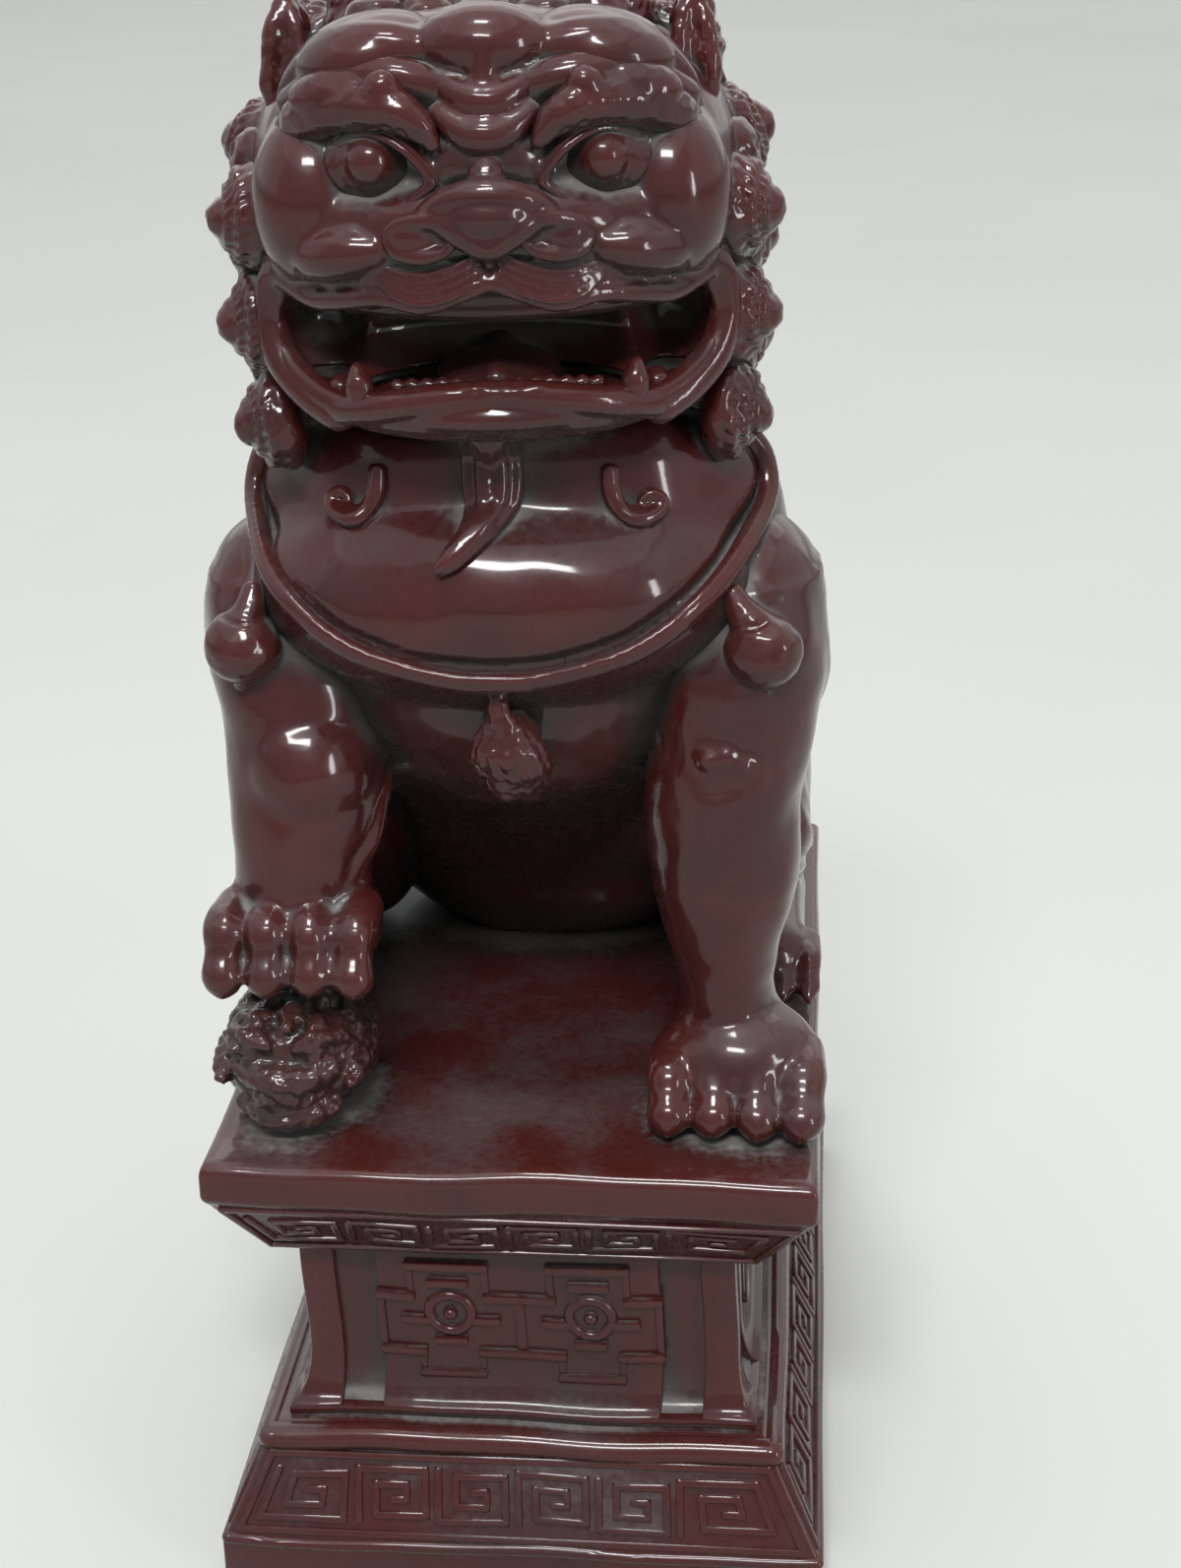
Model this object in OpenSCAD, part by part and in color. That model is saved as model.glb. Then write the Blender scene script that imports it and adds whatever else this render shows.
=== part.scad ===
// Seated guardian lion on a stepped pedestal, in millimetres.
// The lion faces -Y, its right fore paw holds a cub, and z = 0 is the underside of the pedestal.

/* [Pedestal] */
// Width of the plinth
plinth_w = 88; // [84:0.5:96]
// Length of the plinth from front to back
plinth_l = 121; // [118:0.5:130]
// Height of the upright band at the foot of the plinth
base_band_h = 5.5; // [4:0.5:8]
// Height of the sloping face of the plinth
plinth_slope_h = 16.5; // [14:0.5:20]
// How far the sloping face of the plinth leans in
plinth_inset = 8.3; // [6:0.1:10]
// Height of the waist between the plinth and the dais
waist_h = 29.5; // [24:0.5:36]
// Step from the top edge of the plinth in to the foot of the waist
waist_step = 1.2; // [0.8:0.1:2]
// How far the foot of the waist flares out
waist_flare = 3; // [2:0.1:4]
// Width of the corner posts of the waist
post_w = 5; // [3:0.5:8]
// Depth of the plain strips between the corner posts and the panels
strip_depth = 1.4; // [0.8:0.1:2]
// Width of the plain strips
strip_w = 6; // [4:0.5:9]
// Width of the dais
dais_w = 85; // [82:0.5:92]
// Length of the dais from front to back
dais_l = 118; // [116:0.5:126]
// Height of the sloping underside of the dais
dais_slope_h = 12; // [9:0.5:15]
// How far the sloping underside of the dais leans in
dais_inset = 7.6; // [6:0.1:9]
// Height of the upright band of the dais
dais_band_h = 6; // [4:0.5:9]

/* [Meander] */
// Height of the raised meander above the slopes
relief = 0.7; // [0.5:0.1:1.2]
// Width of a raised line of the meander
line_w = 1.1; // [0.8:0.1:1.4]
// Margin of the meander from the edges of a slope
meander_margin = 2; // [1.5:0.1:3]
// Key units on the front and on the back
front_keys = 6; // [5:1:7]
// Key units on each side
side_keys = 9; // [7:1:10]

/* [Torso and limbs] */
// Half width of the chest
chest_hw = 35.5; // [33:0.5:37]
// Half depth of the chest
chest_hd = 31; // [29:0.5:33]
// Half width of the hips
hip_hw = 36; // [33:0.5:37]
// Distance of each fore leg from the middle
leg_x = 29; // [27:0.5:31]
// Half width of the fore legs at the calf
calf_r = 10.6; // [9.5:0.1:11.5]
// Half width of the fore legs at the wrist
wrist_r = 7; // [6:0.1:8]
// Height of the raised paw above the dais
raised_paw_z = 16; // [14:0.5:18]
// Radius of a toe
toe_r = 3.3; // [2.8:0.1:3.5]
// Radius of the tail at its thickest
tail_r = 6; // [5:0.1:7]

/* [Head] */
// Radius of the head under the mane
skull_r = 32.2; // [31:0.1:33]
// Height of the lowest mane curls above the dais
mane_z = 98.5; // [96:0.5:100]
// Distance of the middle of the head ahead of the middle of the dais
head_y = 24; // [22:0.5:25]
// Turn of the head to the lion's left, in degrees
head_turn = 5; // [0:1:12]
// Radius of a mane curl
curl_r = 6.1; // [5.5:0.1:6.1]
// Height of a mane curl
curl_h = 5.4; // [4:0.1:6]
// Radius of the eyes
eye_r = 3.9; // [3.4:0.1:4.4]

/* [Trappings] */
// Width of the collar band
collar_w = 3.4; // [2.5:0.1:5]
// How far the collar stands off the chest
collar_t = 1.6; // [1:0.1:2.5]
// Radius of the bells
bell_r = 4.3; // [3.8:0.1:5]
// Height of the bells
bell_h = 13; // [11:0.5:14]

/* [Hidden] */

LACQUER = [0.30, 0.14, 0.12];
PATINA = [0.22, 0.12, 0.11];

plinth_top = base_band_h + plinth_slope_h;
waist_top = plinth_top + waist_h;
dais_top = waist_top + dais_slope_h + dais_band_h;
waist_w = plinth_w - 2 * (plinth_inset + waist_step + waist_flare);
waist_l = plinth_l - 2 * (plinth_inset + waist_step + waist_flare);

// Clearance between a seat and what sits in it
fit = 0.15;
// Larger than the figure, for cutting planes
far = 300;

// Smooth stations

function bent(a, b, c, d, t) =
    b + 0.5 * t * (c - a + t * (2 * a - 5 * b + 4 * c - d + t * (3 * b - a - 3 * c + d)));
// Catmull-Rom stations between the given ones
function smooth(list, steps) = let (last = len(list) - 1) concat(
    [for (i = [0:last - 1]) for (k = [0:steps - 1])
        bent(list[max(i - 1, 0)], list[i], list[i + 1], list[min(i + 2, last)], k / steps)],
    [list[last]]
);

// Skin of triangles over rings of equal count, closed by a flat cap at each end
module skin(rings) {
    n = len(rings[0]);
    last = len(rings) - 1;
    polyhedron(
        points = [for (ring = rings) each ring],
        faces = concat(
            [for (i = [0:last - 1]) for (k = [0:n - 1])
                [i * n + k, (i + 1) * n + k, i * n + (k + 1) % n]],
            [for (i = [0:last - 1]) for (k = [0:n - 1])
                [i * n + (k + 1) % n, (i + 1) * n + k, (i + 1) * n + (k + 1) % n]],
            [[for (k = [0:n - 1]) k]],
            [[for (k = [n - 1:-1:0]) last * n + k]]
        )
    );
}

// Elliptic sections [x, y, z, half width, half depth, lean], from the lowest to the highest
module loft(stations, sides, steps) {
    skin([for (s = smooth(stations, steps)) [for (k = [0:sides - 1]) let (a = 360 * k / sides)
        [s[0] + s[3] * cos(a), s[1] + s[4] * sin(a) * cos(s[5]), s[2] + s[4] * sin(a) * sin(s[5])]]]);
}

function unit(v) = v / norm(v);
// Round sections along a route of [x, y, z, radius]
module swept(route, sides, steps) {
    path = smooth(route, steps);
    last = len(path) - 1;
    skin([for (i = [0:last])
        let (
            here = path[i],
            way = path[min(i + 1, last)] - path[max(i - 1, 0)],
            along = unit([way[0], way[1], way[2]]),
            over = unit(cross(along, abs(along[0]) > 0.8 ? [0, 1, 0] : [1, 0, 0])),
            out = cross(along, over)
        )
        [for (k = [0:sides - 1]) let (a = 360 * k / sides)
            [here[0], here[1], here[2]] + here[3] * (cos(a) * over + sin(a) * out)]
    ]);
}

module blob(centre, radii, sides = 14) {
    translate(centre) hull() scale(radii) sphere(1, $fn = sides);
}

module bar(a, ra, b, rb, sides = 10) {
    hull() {
        translate(a) sphere(ra, $fn = sides);
        translate(b) sphere(rb, $fn = sides);
    }
}

// Round bars through points of [x, y, z, radius], for bends too tight for swept sections
module chain(route, sides) {
    for (i = [0:len(route) - 2]) hull() for (p = [route[i], route[i + 1]]) {
        translate([p[0], p[1], p[2]]) sphere(p[3], $fn = sides);
    }
}

module both_sides() {
    children();
    mirror([1, 0, 0]) children();
}

module on_dais() {
    translate([0, 0, dais_top]) children();
}

module above_dais() {
    intersection() {
        children();
        translate([-far / 2, -far / 2, 0]) cube(far);
    }
}

// Pedestal

// A profile of [half width taken off, height] steps, mitred round the four corners
module mitred(w, l, steps) {
    intersection() {
        rotate([90, 0, 0]) translate([0, 0, -far / 2]) linear_extrude(far) mirrored_profile(w, steps);
        rotate([90, 0, 90]) translate([0, 0, -far / 2]) linear_extrude(far) mirrored_profile(l, steps);
    }
}

module mirrored_profile(width, steps) {
    last = len(steps) - 1;
    polygon(concat(
        [for (s = steps) [width / 2 - s[0], s[1]]],
        [for (i = [last:-1:0]) [steps[i][0] - width / 2, steps[i][1]]]
    ));
}

// One key of the meander in a cell of w by h, as a line that winds inwards
module key(w, h) {
    t = line_w;
    gap = (h - 3 * t) / 4;
    module line(x0, y0, x1, y1) translate([x0, y0]) square([x1 - x0, y1 - y0]);
    line(0, 0, t, h);
    line(0, h - t, w - gap, h);
    line(w - gap - t, gap, w - gap, h);
    line(2 * gap, gap, w - gap, gap + t);
    line(2 * gap, gap, 2 * gap + t, h / 2 + t);
    line(2 * gap, h / 2, w - 2.4 * gap, h / 2 + t);
}

// A row of keys in a frame, centred on a slope of the given foot width, height and inset
module meander(width, rise, inset, count) {
    slant = norm([rise, inset]);
    row_h = slant - 2 * meander_margin - 4 * line_w;
    row_w = width - 2 * max(inset, 0) - 2 * meander_margin;
    cell = row_w / count;
    for (i = [0:count - 1]) {
        translate([-row_w / 2 + i * cell, meander_margin + 2 * line_w]) key(cell, row_h);
    }
    for (y = [meander_margin, slant - meander_margin - line_w]) {
        translate([-row_w / 2, y]) square([row_w, line_w]);
    }
}

// Lays flat work on the four slopes of a mitred block, whose feet are at height z
module on_slopes(w, l, z, rise, inset, keys_w, keys_l) {
    lean = atan2(rise, inset);
    for (side = [0, 180]) {
        rotate(side) translate([0, -l / 2, z]) rotate([lean, 0, 0]) translate([0, 0, -relief])
            linear_extrude(2 * relief) meander(w, rise, inset, keys_w);
        rotate(side + 90) translate([0, -w / 2, z]) rotate([lean, 0, 0]) translate([0, 0, -relief])
            linear_extrude(2 * relief) meander(l, rise, inset, keys_l);
    }
}

module plinth() {
    bead = 1.2;
    soft = 0.8;
    color(LACQUER) union() {
        mitred(plinth_w, plinth_l, [
            [soft, 0],
            [0, soft],
            [0, base_band_h - soft],
            [soft, base_band_h],
            [plinth_inset - bead, plinth_top - bead],
            [plinth_inset - 0.4 * bead, plinth_top - 0.3 * bead],
            [plinth_inset, plinth_top]
        ]);
        on_slopes(plinth_w, plinth_l, base_band_h, plinth_slope_h, plinth_inset, front_keys, side_keys);
    }
}

// Upright foot of the waist, and the height of the hollow curve above it
waist_foot = 1.5;
flare_h = 3 * waist_flare;
// Flared section of the waist
waist_profile = concat(
    [[-waist_flare, plinth_top], [-waist_flare, plinth_top + waist_foot]],
    [for (a = [15:25:90])
        [-waist_flare * (1 - sin(a)), plinth_top + waist_foot + flare_h * (1 - cos(a))]],
    [[0, waist_top]]
);

module waist() {
    color(LACQUER) difference() {
        mitred(waist_w, waist_l, waist_profile);
        // Plain strips, cut back between each corner post and the panel beside it
        for (flip = [0, 1]) mirror([flip, 0, 0]) for (turn = [0, 1]) mirror([0, turn, 0]) {
            translate([waist_w / 2 - post_w - strip_w, -waist_l / 2 - waist_flare, plinth_top + waist_foot])
                cube([strip_w, waist_flare + strip_depth, waist_h]);
            translate([waist_w / 2 - strip_depth, -waist_l / 2 + post_w, plinth_top + waist_foot])
                cube([waist_flare + strip_depth, strip_w, waist_h]);
        }
    }
}

module dais() {
    edge = 1.2;
    color(LACQUER) union() {
        mitred(dais_w, dais_l, [
            [dais_inset, waist_top],
            [0, waist_top + dais_slope_h],
            [0, dais_top - edge],
            [0.4 * edge, dais_top - 0.4 * edge],
            [edge, dais_top]
        ]);
        translate([0, 0, waist_top]) on_slopes(dais_w - 2 * dais_inset, dais_l - 2 * dais_inset, 0,
            dais_slope_h, -dais_inset, front_keys, side_keys);
    }
}

// Torso, in heights above the dais

// Leaning sections from the rump to the neck, thickened by extra
module torso(extra = 0) {
    loft([for (s = [
        [0, 47, 13, 14, 9, 62],
        [0, 40, 20, hip_hw - 7, 21, 60],
        [0, 27, 30, hip_hw, 29, 55],
        [0, 9, 46, hip_hw, 33, 45],
        [0, -8, 63, chest_hw + 0.5, chest_hd + 3, 28],
        [0, -17, 78, chest_hw, chest_hd, 10],
        [0, -20, mane_z - 8.5, chest_hw - 6, chest_hd - 5, 4],
        [0, -21, mane_z - 1.5, chest_hw - 15, chest_hd - 13, 0],
        [0, -21, mane_z + 0.5, chest_hw - 27, chest_hd - 24, 0]
    ]) [s[0], s[1], s[2], s[3] + extra, s[4] + extra, s[5]]], 22, 2);
    blob([0, 28, 15], [hip_hw - 4 + extra, 23 + extra, 20 + extra], 14);
}

module body() {
    color(LACQUER) on_dais() above_dais() torso();
}

// Limbs

// Toes across a paw at the given places, each from its knuckle to its tip, with a short claw
module toes(xs, knuckle, tip, claw) {
    for (x = xs) {
        hull() {
            translate([x, knuckle[0], knuckle[1]]) sphere(toe_r, $fn = 8);
            translate([x, tip[0], tip[1]]) sphere(toe_r * 0.85, $fn = 8);
            translate([x, claw[0], claw[1]]) sphere(0.6, $fn = 6);
        }
    }
}

function spread(middle, pitch) = [for (i = [-1.5:1:1.5]) middle + i * pitch];

// Shoulder and upper arm, the same on both sides
module shoulder() {
    blob([33, -24, 66], [10.5, 14.5, 17], 14);
    blob([leg_x + 1.5, -28.5, 54], [calf_r + 0.6, 12.5, 11], 14);
}

module standing_leg() {
    shoulder();
    loft([
        [leg_x + 2, -36, 2, 9, 9, 0],
        [leg_x + 1.5, -34, 7, 9, 10, 0],
        [leg_x + 0.5, -33.5, 15, wrist_r, 8.5, 0],
        [leg_x, -33.5, 23, wrist_r + 0.4, 8.8, 0],
        [leg_x, -33, 34, calf_r - 0.3, 10.6, 0],
        [leg_x, -32, 44, calf_r, 11.4, 0],
        [leg_x + 1, -29.5, 56, calf_r, 11.6, 0]
    ], 12, 2);
    blob([leg_x + 2, -37, 5], [10.8, 9.5, 7], 12);
    toes(spread(leg_x + 2, 6.2), [-43, 6.4], [-47, 2.8], [-50.3, 1.2]);
}

// The paw that holds the cub, lifted to the height of its sole
module raised_leg() {
    z = raised_paw_z;
    shoulder();
    loft([
        [leg_x + 1.5, -36, z + 4, 8, 8, 0],
        [leg_x + 1.5, -35.5, z + 10, 9, 9.5, 0],
        [leg_x + 0.8, -34.5, z + 18, wrist_r + 2.2, 9.6, 0],
        [leg_x - 0.4, -33, z + 28, calf_r, 11, 0],
        [leg_x - 0.6, -30.5, z + 38, calf_r + 0.4, 12, 0]
    ], 12, 2);
    blob([leg_x + 1.6, -38, z + 10], [11.6, 9.5, 7.6], 12);
    toes(spread(leg_x + 1.7, 6.5), [-44.5, z + 15], [-48.6, z + 9], [-50, z + 4.6]);
}

module right_foreleg() {
    color(LACQUER) on_dais() above_dais() difference() {
        mirror([1, 0, 0]) raised_leg();
        torso();
        bell_seats();
    }
}

module left_foreleg() {
    color(LACQUER) on_dais() above_dais() difference() {
        standing_leg();
        torso();
        bell_seats();
    }
}

module hind_leg() {
    blob([30, 19, 26], [hip_hw - 25, 22, 24], 14);
    bar([34, 2, 24], 7.5, [34, 24, 9], 6.5, 10);
    bar([35, 22, 5], 5.5, [35, -2, 5], 5.8, 10);
    toes(spread(35.2, 4.1), [-4, 5.4], [-8.5, 2.6], [-11.5, 1.1]);
}

module right_hind_leg() {
    color(LACQUER) on_dais() above_dais() difference() {
        mirror([1, 0, 0]) hind_leg();
        torso();
    }
}

module left_hind_leg() {
    color(LACQUER) on_dais() above_dais() difference() {
        hind_leg();
        torso();
    }
}

// Flame-shaped tail that lies up the back, with two curling locks
module tail() {
    color(LACQUER) on_dais() above_dais() difference() {
        union() {
            swept([[0, 47, 4, 4], [0, 53, 14, tail_r - 1], [0, 52, 28, tail_r], [0, 46, 42, tail_r - 1],
                [0, 38, 54, tail_r - 2.5], [0, 31, 64, 0.8]], 10, 3);
            both_sides() {
                swept([[2, 50, 14, 3], [8, 51, 22, 3.6], [10, 48, 33, 2.6], [7, 46, 39, 0.8]], 8, 2);
                bar([9, 49.5, 27], 3.4, [12, 46, 24], 2.4);
                bar([12, 46, 24], 2.4, [12.5, 44, 29], 1.6);
                bar([4, 46, 44], 3, [7, 41, 49], 2);
                bar([7, 41, 49], 2, [6.5, 37, 54], 1);
            }
        }
        torso();
    }
}

// Head, in heights above the dais, with the middle of the head on a line at -head_y

// Distance of the mane's rows from each other, and the turn between its columns
mane_step = 12.8;
column_turn = 26;

// Section of the head under the mane: [height above the lowest curls, change of radius]
head_profile = [
    [-8, -5.5], [-1.5, -0.8], [6, 0], [20, 0], [31, -0.8], [39, -3.6], [45, -8.2], [49, -16], [50.5, -25]
];

// Turns the head about the upright line through its middle
module turned() {
    translate([0, -head_y, 0]) rotate(head_turn) children();
}

// Flatter curve of the front of the skull: [middle, half width, half depth]
face_curve = [10, skull_r + 7.8, skull_r + 3.8];

module head_core() {
    turned() intersection() {
        loft([for (p = head_profile) [0, 0, mane_z + p[0], skull_r + p[1], skull_r + p[1], 0]], 22, 2);
        translate([0, face_curve[0], 0]) scale([face_curve[1], face_curve[2], 1]) cylinder(h = far, r = 1, $fn = 48);
    }
}

// Places face work, measured from the front of the head at the height of the upper lip
module on_face() {
    turned() translate([0, 31 - skull_r, mane_z + 22.5]) children();
}

module mouth_hollow() {
    hull() {
        for (x = [-22.7, 22.7]) blob([x, -23.8, -10.5], [4.7, 12, 5.7], 8);
        blob([0, -38, -10.2], [15.6, 12, 6.3], 12);
        blob([0, -17.7, -10.2], [17.9, 8, 6], 10);
    }
}

module face_masses() {
    both_sides() {
        // Cheek, moustache roll, and the fold of skin round the corner of the mouth
        blob([22.5, -15, 6], [8, 9.5, 10.5], 12);
        bar([14.5, -25.4, 2], 2.8, [21.4, -21.6, 1.4], 3.2, 8);
        swept([
            [-1.5, -29.3, -1.6, 1.6], [8.3, -28.5, -4, 2], [14.6, -26, -3.8, 1.8],
            [21.7, -21.7, -4.7, 1.9], [28.8, -15.3, -2.5, 2.5], [30.2, -13.9, -8, 2.2],
            [27.8, -15.7, -13.1, 2.7], [21.7, -19.7, -17.8, 2.4]
        ], 7, 2);
    }
    // Muzzle, upper lip, and the mass between the brows
    blob([0, -21, 4.4], [18.7, 8, 7.3], 12);
    blob([0, -22.5, -2], [19, 7.5, 4.5], 12);
    blob([0, -12, 17], [24, 13.5, 11], 14);
}

module head_shape() {
    difference() {
        union() {
            head_core();
            on_face() face_masses();
        }
        on_face() {
            mouth_hollow();
            // Clear of the lower jaw
            translate([-far / 2, -far - 2, -far - 14]) cube(far);
        }
    }
}

module head() {
    color(LACQUER) on_dais() difference() {
        head_shape();
        torso();
        on_face() both_sides() translate(eye_place) sphere(eye_r + fit, $fn = 14);
    }
}

eye_place = [14.3, -23.6, 12.5];

module right_eye() {
    color(PATINA) on_dais() on_face() mirror([1, 0, 0]) translate(eye_place) eyeball();
}

module left_eye() {
    color(PATINA) on_dais() on_face() translate(eye_place) eyeball();
}

module eyeball() {
    sphere(eye_r, $fn = 40);
}

// Jaw floor with its raised lip, from one corner of the mouth to the other
module jaw_shape() {
    on_face() {
        hull() {
            blob([0, -15, -19], [22, 11, 4], 12);
            blob([0, -19.5, -18.5], [15, 9, 3.6], 12);
        }
        both_sides() {
            bar([0, -27.6, -16.8], 2.8, [9, -26.6, -17.2], 2.8, 8);
            bar([9, -26.6, -17.2], 2.8, [16, -23.5, -18], 2.8, 8);
            bar([16, -23.5, -18], 2.8, [21.5, -18.5, -18.6], 2.8, 8);
            bar([21.5, -18.5, -18.6], 2.8, [25, -9, -17.5], 2.8, 8);
            bar([21.5, -18.5, -18.6], 2.8, [26.6, -15.8, -14], 2.2, 8);
        }
    }
}

module lower_jaw() {
    color(LACQUER) on_dais() difference() {
        jaw_shape();
        head_shape();
        torso();
    }
}

module tongue_shape() {
    on_face() {
        hull() {
            blob([0, -21.5, -14], [8.5, 5, 2.6], 10);
            blob([0, -8, -12], [10, 6, 3], 10);
        }
    }
}

module tongue() {
    color(PATINA) on_dais() difference() {
        tongue_shape();
        jaw_shape();
        head_shape();
        torso();
    }
}

// A tooth at each corner of the lower lip, with a smaller one beside it
module teeth() {
    color(PATINA) on_dais() difference() {
        on_face() both_sides() {
            translate([15.6, -21.5, -16.5]) cylinder(h = 6.5, r1 = 1.9, r2 = 0.4, $fn = 8);
            translate([19.4, -17.5, -17]) cylinder(h = 4.5, r1 = 1.6, r2 = 0.4, $fn = 8);
        }
        jaw_shape();
        head_shape();
    }
}

// Bridge, ball and curled wings of the nose
module nose() {
    color(LACQUER) on_dais() difference() {
        on_face() {
            bar([0, -27, 16], 2.6, [0, -29, 10.5], 3.8, 8);
            hull() {
                blob([0, -30, 8], [6.2, 3.6, 4], 10);
                blob([0, -30.6, 3.5], [2.6, 2, 2], 8);
            }
            both_sides() {
                bar([4.5, -29.6, 6.4], 2.6, [9, -28, 5.4], 2.3, 8);
                bar([9, -28, 5.4], 2.3, [11.8, -26.2, 3.6], 1.8, 8);
                bar([11.8, -26.2, 3.6], 1.8, [7.5, -28.8, 2], 1.3, 8);
            }
        }
        head_shape();
    }
}

// Three lobes with two rolls of wrinkled skin under the middle one
module forehead_shape() {
    on_face() {
        blob([0, -20, 24.6], [7.2, 6, 5], 10);
        bar([-4.5, -24.8, 21.6], 2.4, [4.5, -24.8, 21.6], 2.4, 8);
        bar([-4.2, -26.6, 17.8], 2.4, [4.2, -26.6, 17.8], 2.4, 8);
        both_sides() {
            blob([15.2, -16, 22.6], [9, 8.5, 5.6], 10);
            bar([5, -24, 21.8], 2.2, [8.6, -21.5, 25], 1.6, 8);
        }
    }
}

module forehead() {
    color(LACQUER) on_dais() difference() {
        forehead_shape();
        head_shape();
        on_face() both_sides() brow_shape();
    }
}

// Ridge over one eye, from the bridge of the nose out to the temple
module brow_shape() {
    bar([5.8, -27.2, 15.4], 2.4, [10.8, -26.6, 20.4], 3.2, 8);
    bar([10.8, -26.6, 20.4], 3.2, [18.5, -23, 21], 3.4, 8);
    bar([18.5, -23, 21], 3.4, [24.4, -16.6, 15], 2.8, 8);
}

module left_brow() {
    color(LACQUER) on_dais() difference() {
        on_face() brow_shape();
        head_shape();
    }
}

module right_brow() {
    color(LACQUER) on_dais() difference() {
        on_face() mirror([1, 0, 0]) brow_shape();
        head_shape();
    }
}

// Upright leaf-shaped ear with its hollow
module ear_shape() {
    difference() {
        hull() {
            blob([26, -6, 19], [4.2, 3.4, 5], 8);
            blob([27.6, -6, 28], [3.2, 2.8, 4], 8);
        }
        hull() {
            blob([28.4, -10, 20.5], [2, 2.6, 3.4], 8);
            blob([29, -9.4, 27.5], [1.5, 2, 2.4], 8);
        }
    }
}

module left_ear() {
    color(LACQUER) on_dais() difference() {
        on_face() ear_shape();
        head_shape();
        forehead_shape();
    }
}

module right_ear() {
    color(LACQUER) on_dais() difference() {
        on_face() mirror([1, 0, 0]) ear_shape();
        head_shape();
        forehead_shape();
    }
}

// Mane

// One snail curl: a flat-based bun that winds up in two rounded steps to a knob
module curl() {
    knob_r = 0.36 * curl_r;
    step_r = 0.68 * curl_r;
    step_z = [0.42 * curl_h, 0.74 * curl_h];
    rotate_extrude($fn = 32) polygon(concat(
        [[0, 0]],
        [for (a = [-30:30:90]) [step_r + (curl_r - step_r) * cos(a), 0.5 * step_z[0] * (1 + sin(a))]],
        [for (a = [0:30:90])
            [knob_r + (step_r - knob_r) * cos(a), step_z[0] + (step_z[1] - step_z[0]) * sin(a)]],
        [for (a = [0:30:90]) [knob_r * cos(a), step_z[1] + (curl_h - step_z[1]) * sin(a)]]
    ));
}

function at(list, z, i = 0) = z <= list[i + 1][0] || i == len(list) - 2
    ? lerp(list[i], list[i + 1], z)
    : at(list, z, i + 1);
function lerp(a, b, z) = a[1] + (b[1] - a[1]) * (z - a[0]) / (b[0] - a[0]);
function lean_at(list, z) = atan2(at(list, z - 1) - at(list, z + 1), 2);

// Places of the curls: [turn from the back of the head, height above the lowest curls]
mane_places = [
    for (c = [-4:1:4]) for (r = [0:3]) if (abs(c) < 4 || r < 3)
        [c * column_turn, (r + (abs(c) % 2) * 0.5) * mane_step]
];
crown_ring = [for (turn = [-98:49:98]) [turn, 49.2]];

module place_curl(place) {
    turn = place[0];
    z = place[1];
    rotate([0, 0, turn]) translate([0, skull_r + at(head_profile, z), mane_z + z])
        rotate([-90 + lean_at(head_profile, z), 0, 0]) children();
}

module mane(from, to) {
    turned() for (place = mane_places) {
        if (place[0] >= from && place[0] < to) place_curl(place) curl();
    }
}

module left_mane() {
    color(LACQUER) on_dais() mane(-180, -1.5 * column_turn);
}

module nape_mane() {
    color(LACQUER) on_dais() mane(-1.5 * column_turn, 1.5 * column_turn);
}

module right_mane() {
    color(LACQUER) on_dais() mane(1.5 * column_turn, 180);
}

module crown_curls() {
    color(LACQUER) on_dais() turned() {
        for (place = crown_ring) place_curl(place) curl();
        translate([0, 0, mane_z + head_profile[len(head_profile) - 1][0]]) curl();
    }
}

// Beard, in heights above the lowest curls

module beard() {
    color(LACQUER) on_dais() difference() {
        translate([0, 0, mane_z]) {
            swept([
                [0, -42, 0.5, 3.6], [0, -47.5, -4.5, 3.6], [-0.5, -49.5, -10.5, 2.8], [-3.8, -50.5, -16.5, 0.8]
            ], 8, 3);
            both_sides() {
                bar([2, -44, -0.5], 2, [2.4, -47.5, -5.5], 1.8, 6);
                bar([2.4, -47.5, -5.5], 1.8, [1.4, -49, -10.5], 1, 6);
                bar([4, -43, -0.5], 2.2, [4.4, -47, -7], 0.8, 6);
            }
        }
        torso();
        jaw_shape();
        head_shape();
    }
}

// Lock that curls up at the corner of the jaw
module beard_curl() {
    translate([0, 0, mane_z]) chain([
        [18, -37, -0.5, 2.6], [17.4, -41, -3.5, 2.8], [19.6, -42.6, -7.3, 2.4], [23.2, -40.6, -7.1, 2],
        [23.4, -40, -4.1, 1.4]
    ], 8);
}

module left_beard_curl() {
    color(LACQUER) on_dais() difference() {
        beard_curl();
        torso();
        jaw_shape();
    }
}

module right_beard_curl() {
    color(LACQUER) on_dais() difference() {
        mirror([1, 0, 0]) beard_curl();
        torso();
        jaw_shape();
    }
}

// Trappings

// Line of the collar across the chest, seen from the front: [x, height]
collar_line = smooth([
    [35, 96], [33.4, 87], [30.4, 79], [25.4, 73], [16, 68.8], [5, 66.9], [-1, 66.6]
], 2);

module collar_band() {
    rotate([90, 0, 0]) linear_extrude(70) both_sides() for (i = [0:len(collar_line) - 2]) hull() {
        translate(collar_line[i]) circle(collar_w / 2, $fn = 6);
        translate(collar_line[i + 1]) circle(collar_w / 2, $fn = 6);
    }
}

module collar_shape() {
    intersection() {
        translate([0, -16, 0]) collar_band();
        torso(collar_t);
    }
}

module collar() {
    color(LACQUER) on_dais() difference() {
        collar_shape();
        torso();
        both_sides() shoulder();
        bell_seats();
        head_shape();
    }
}

bell_place = [34.4, -39.5, 77];

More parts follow.
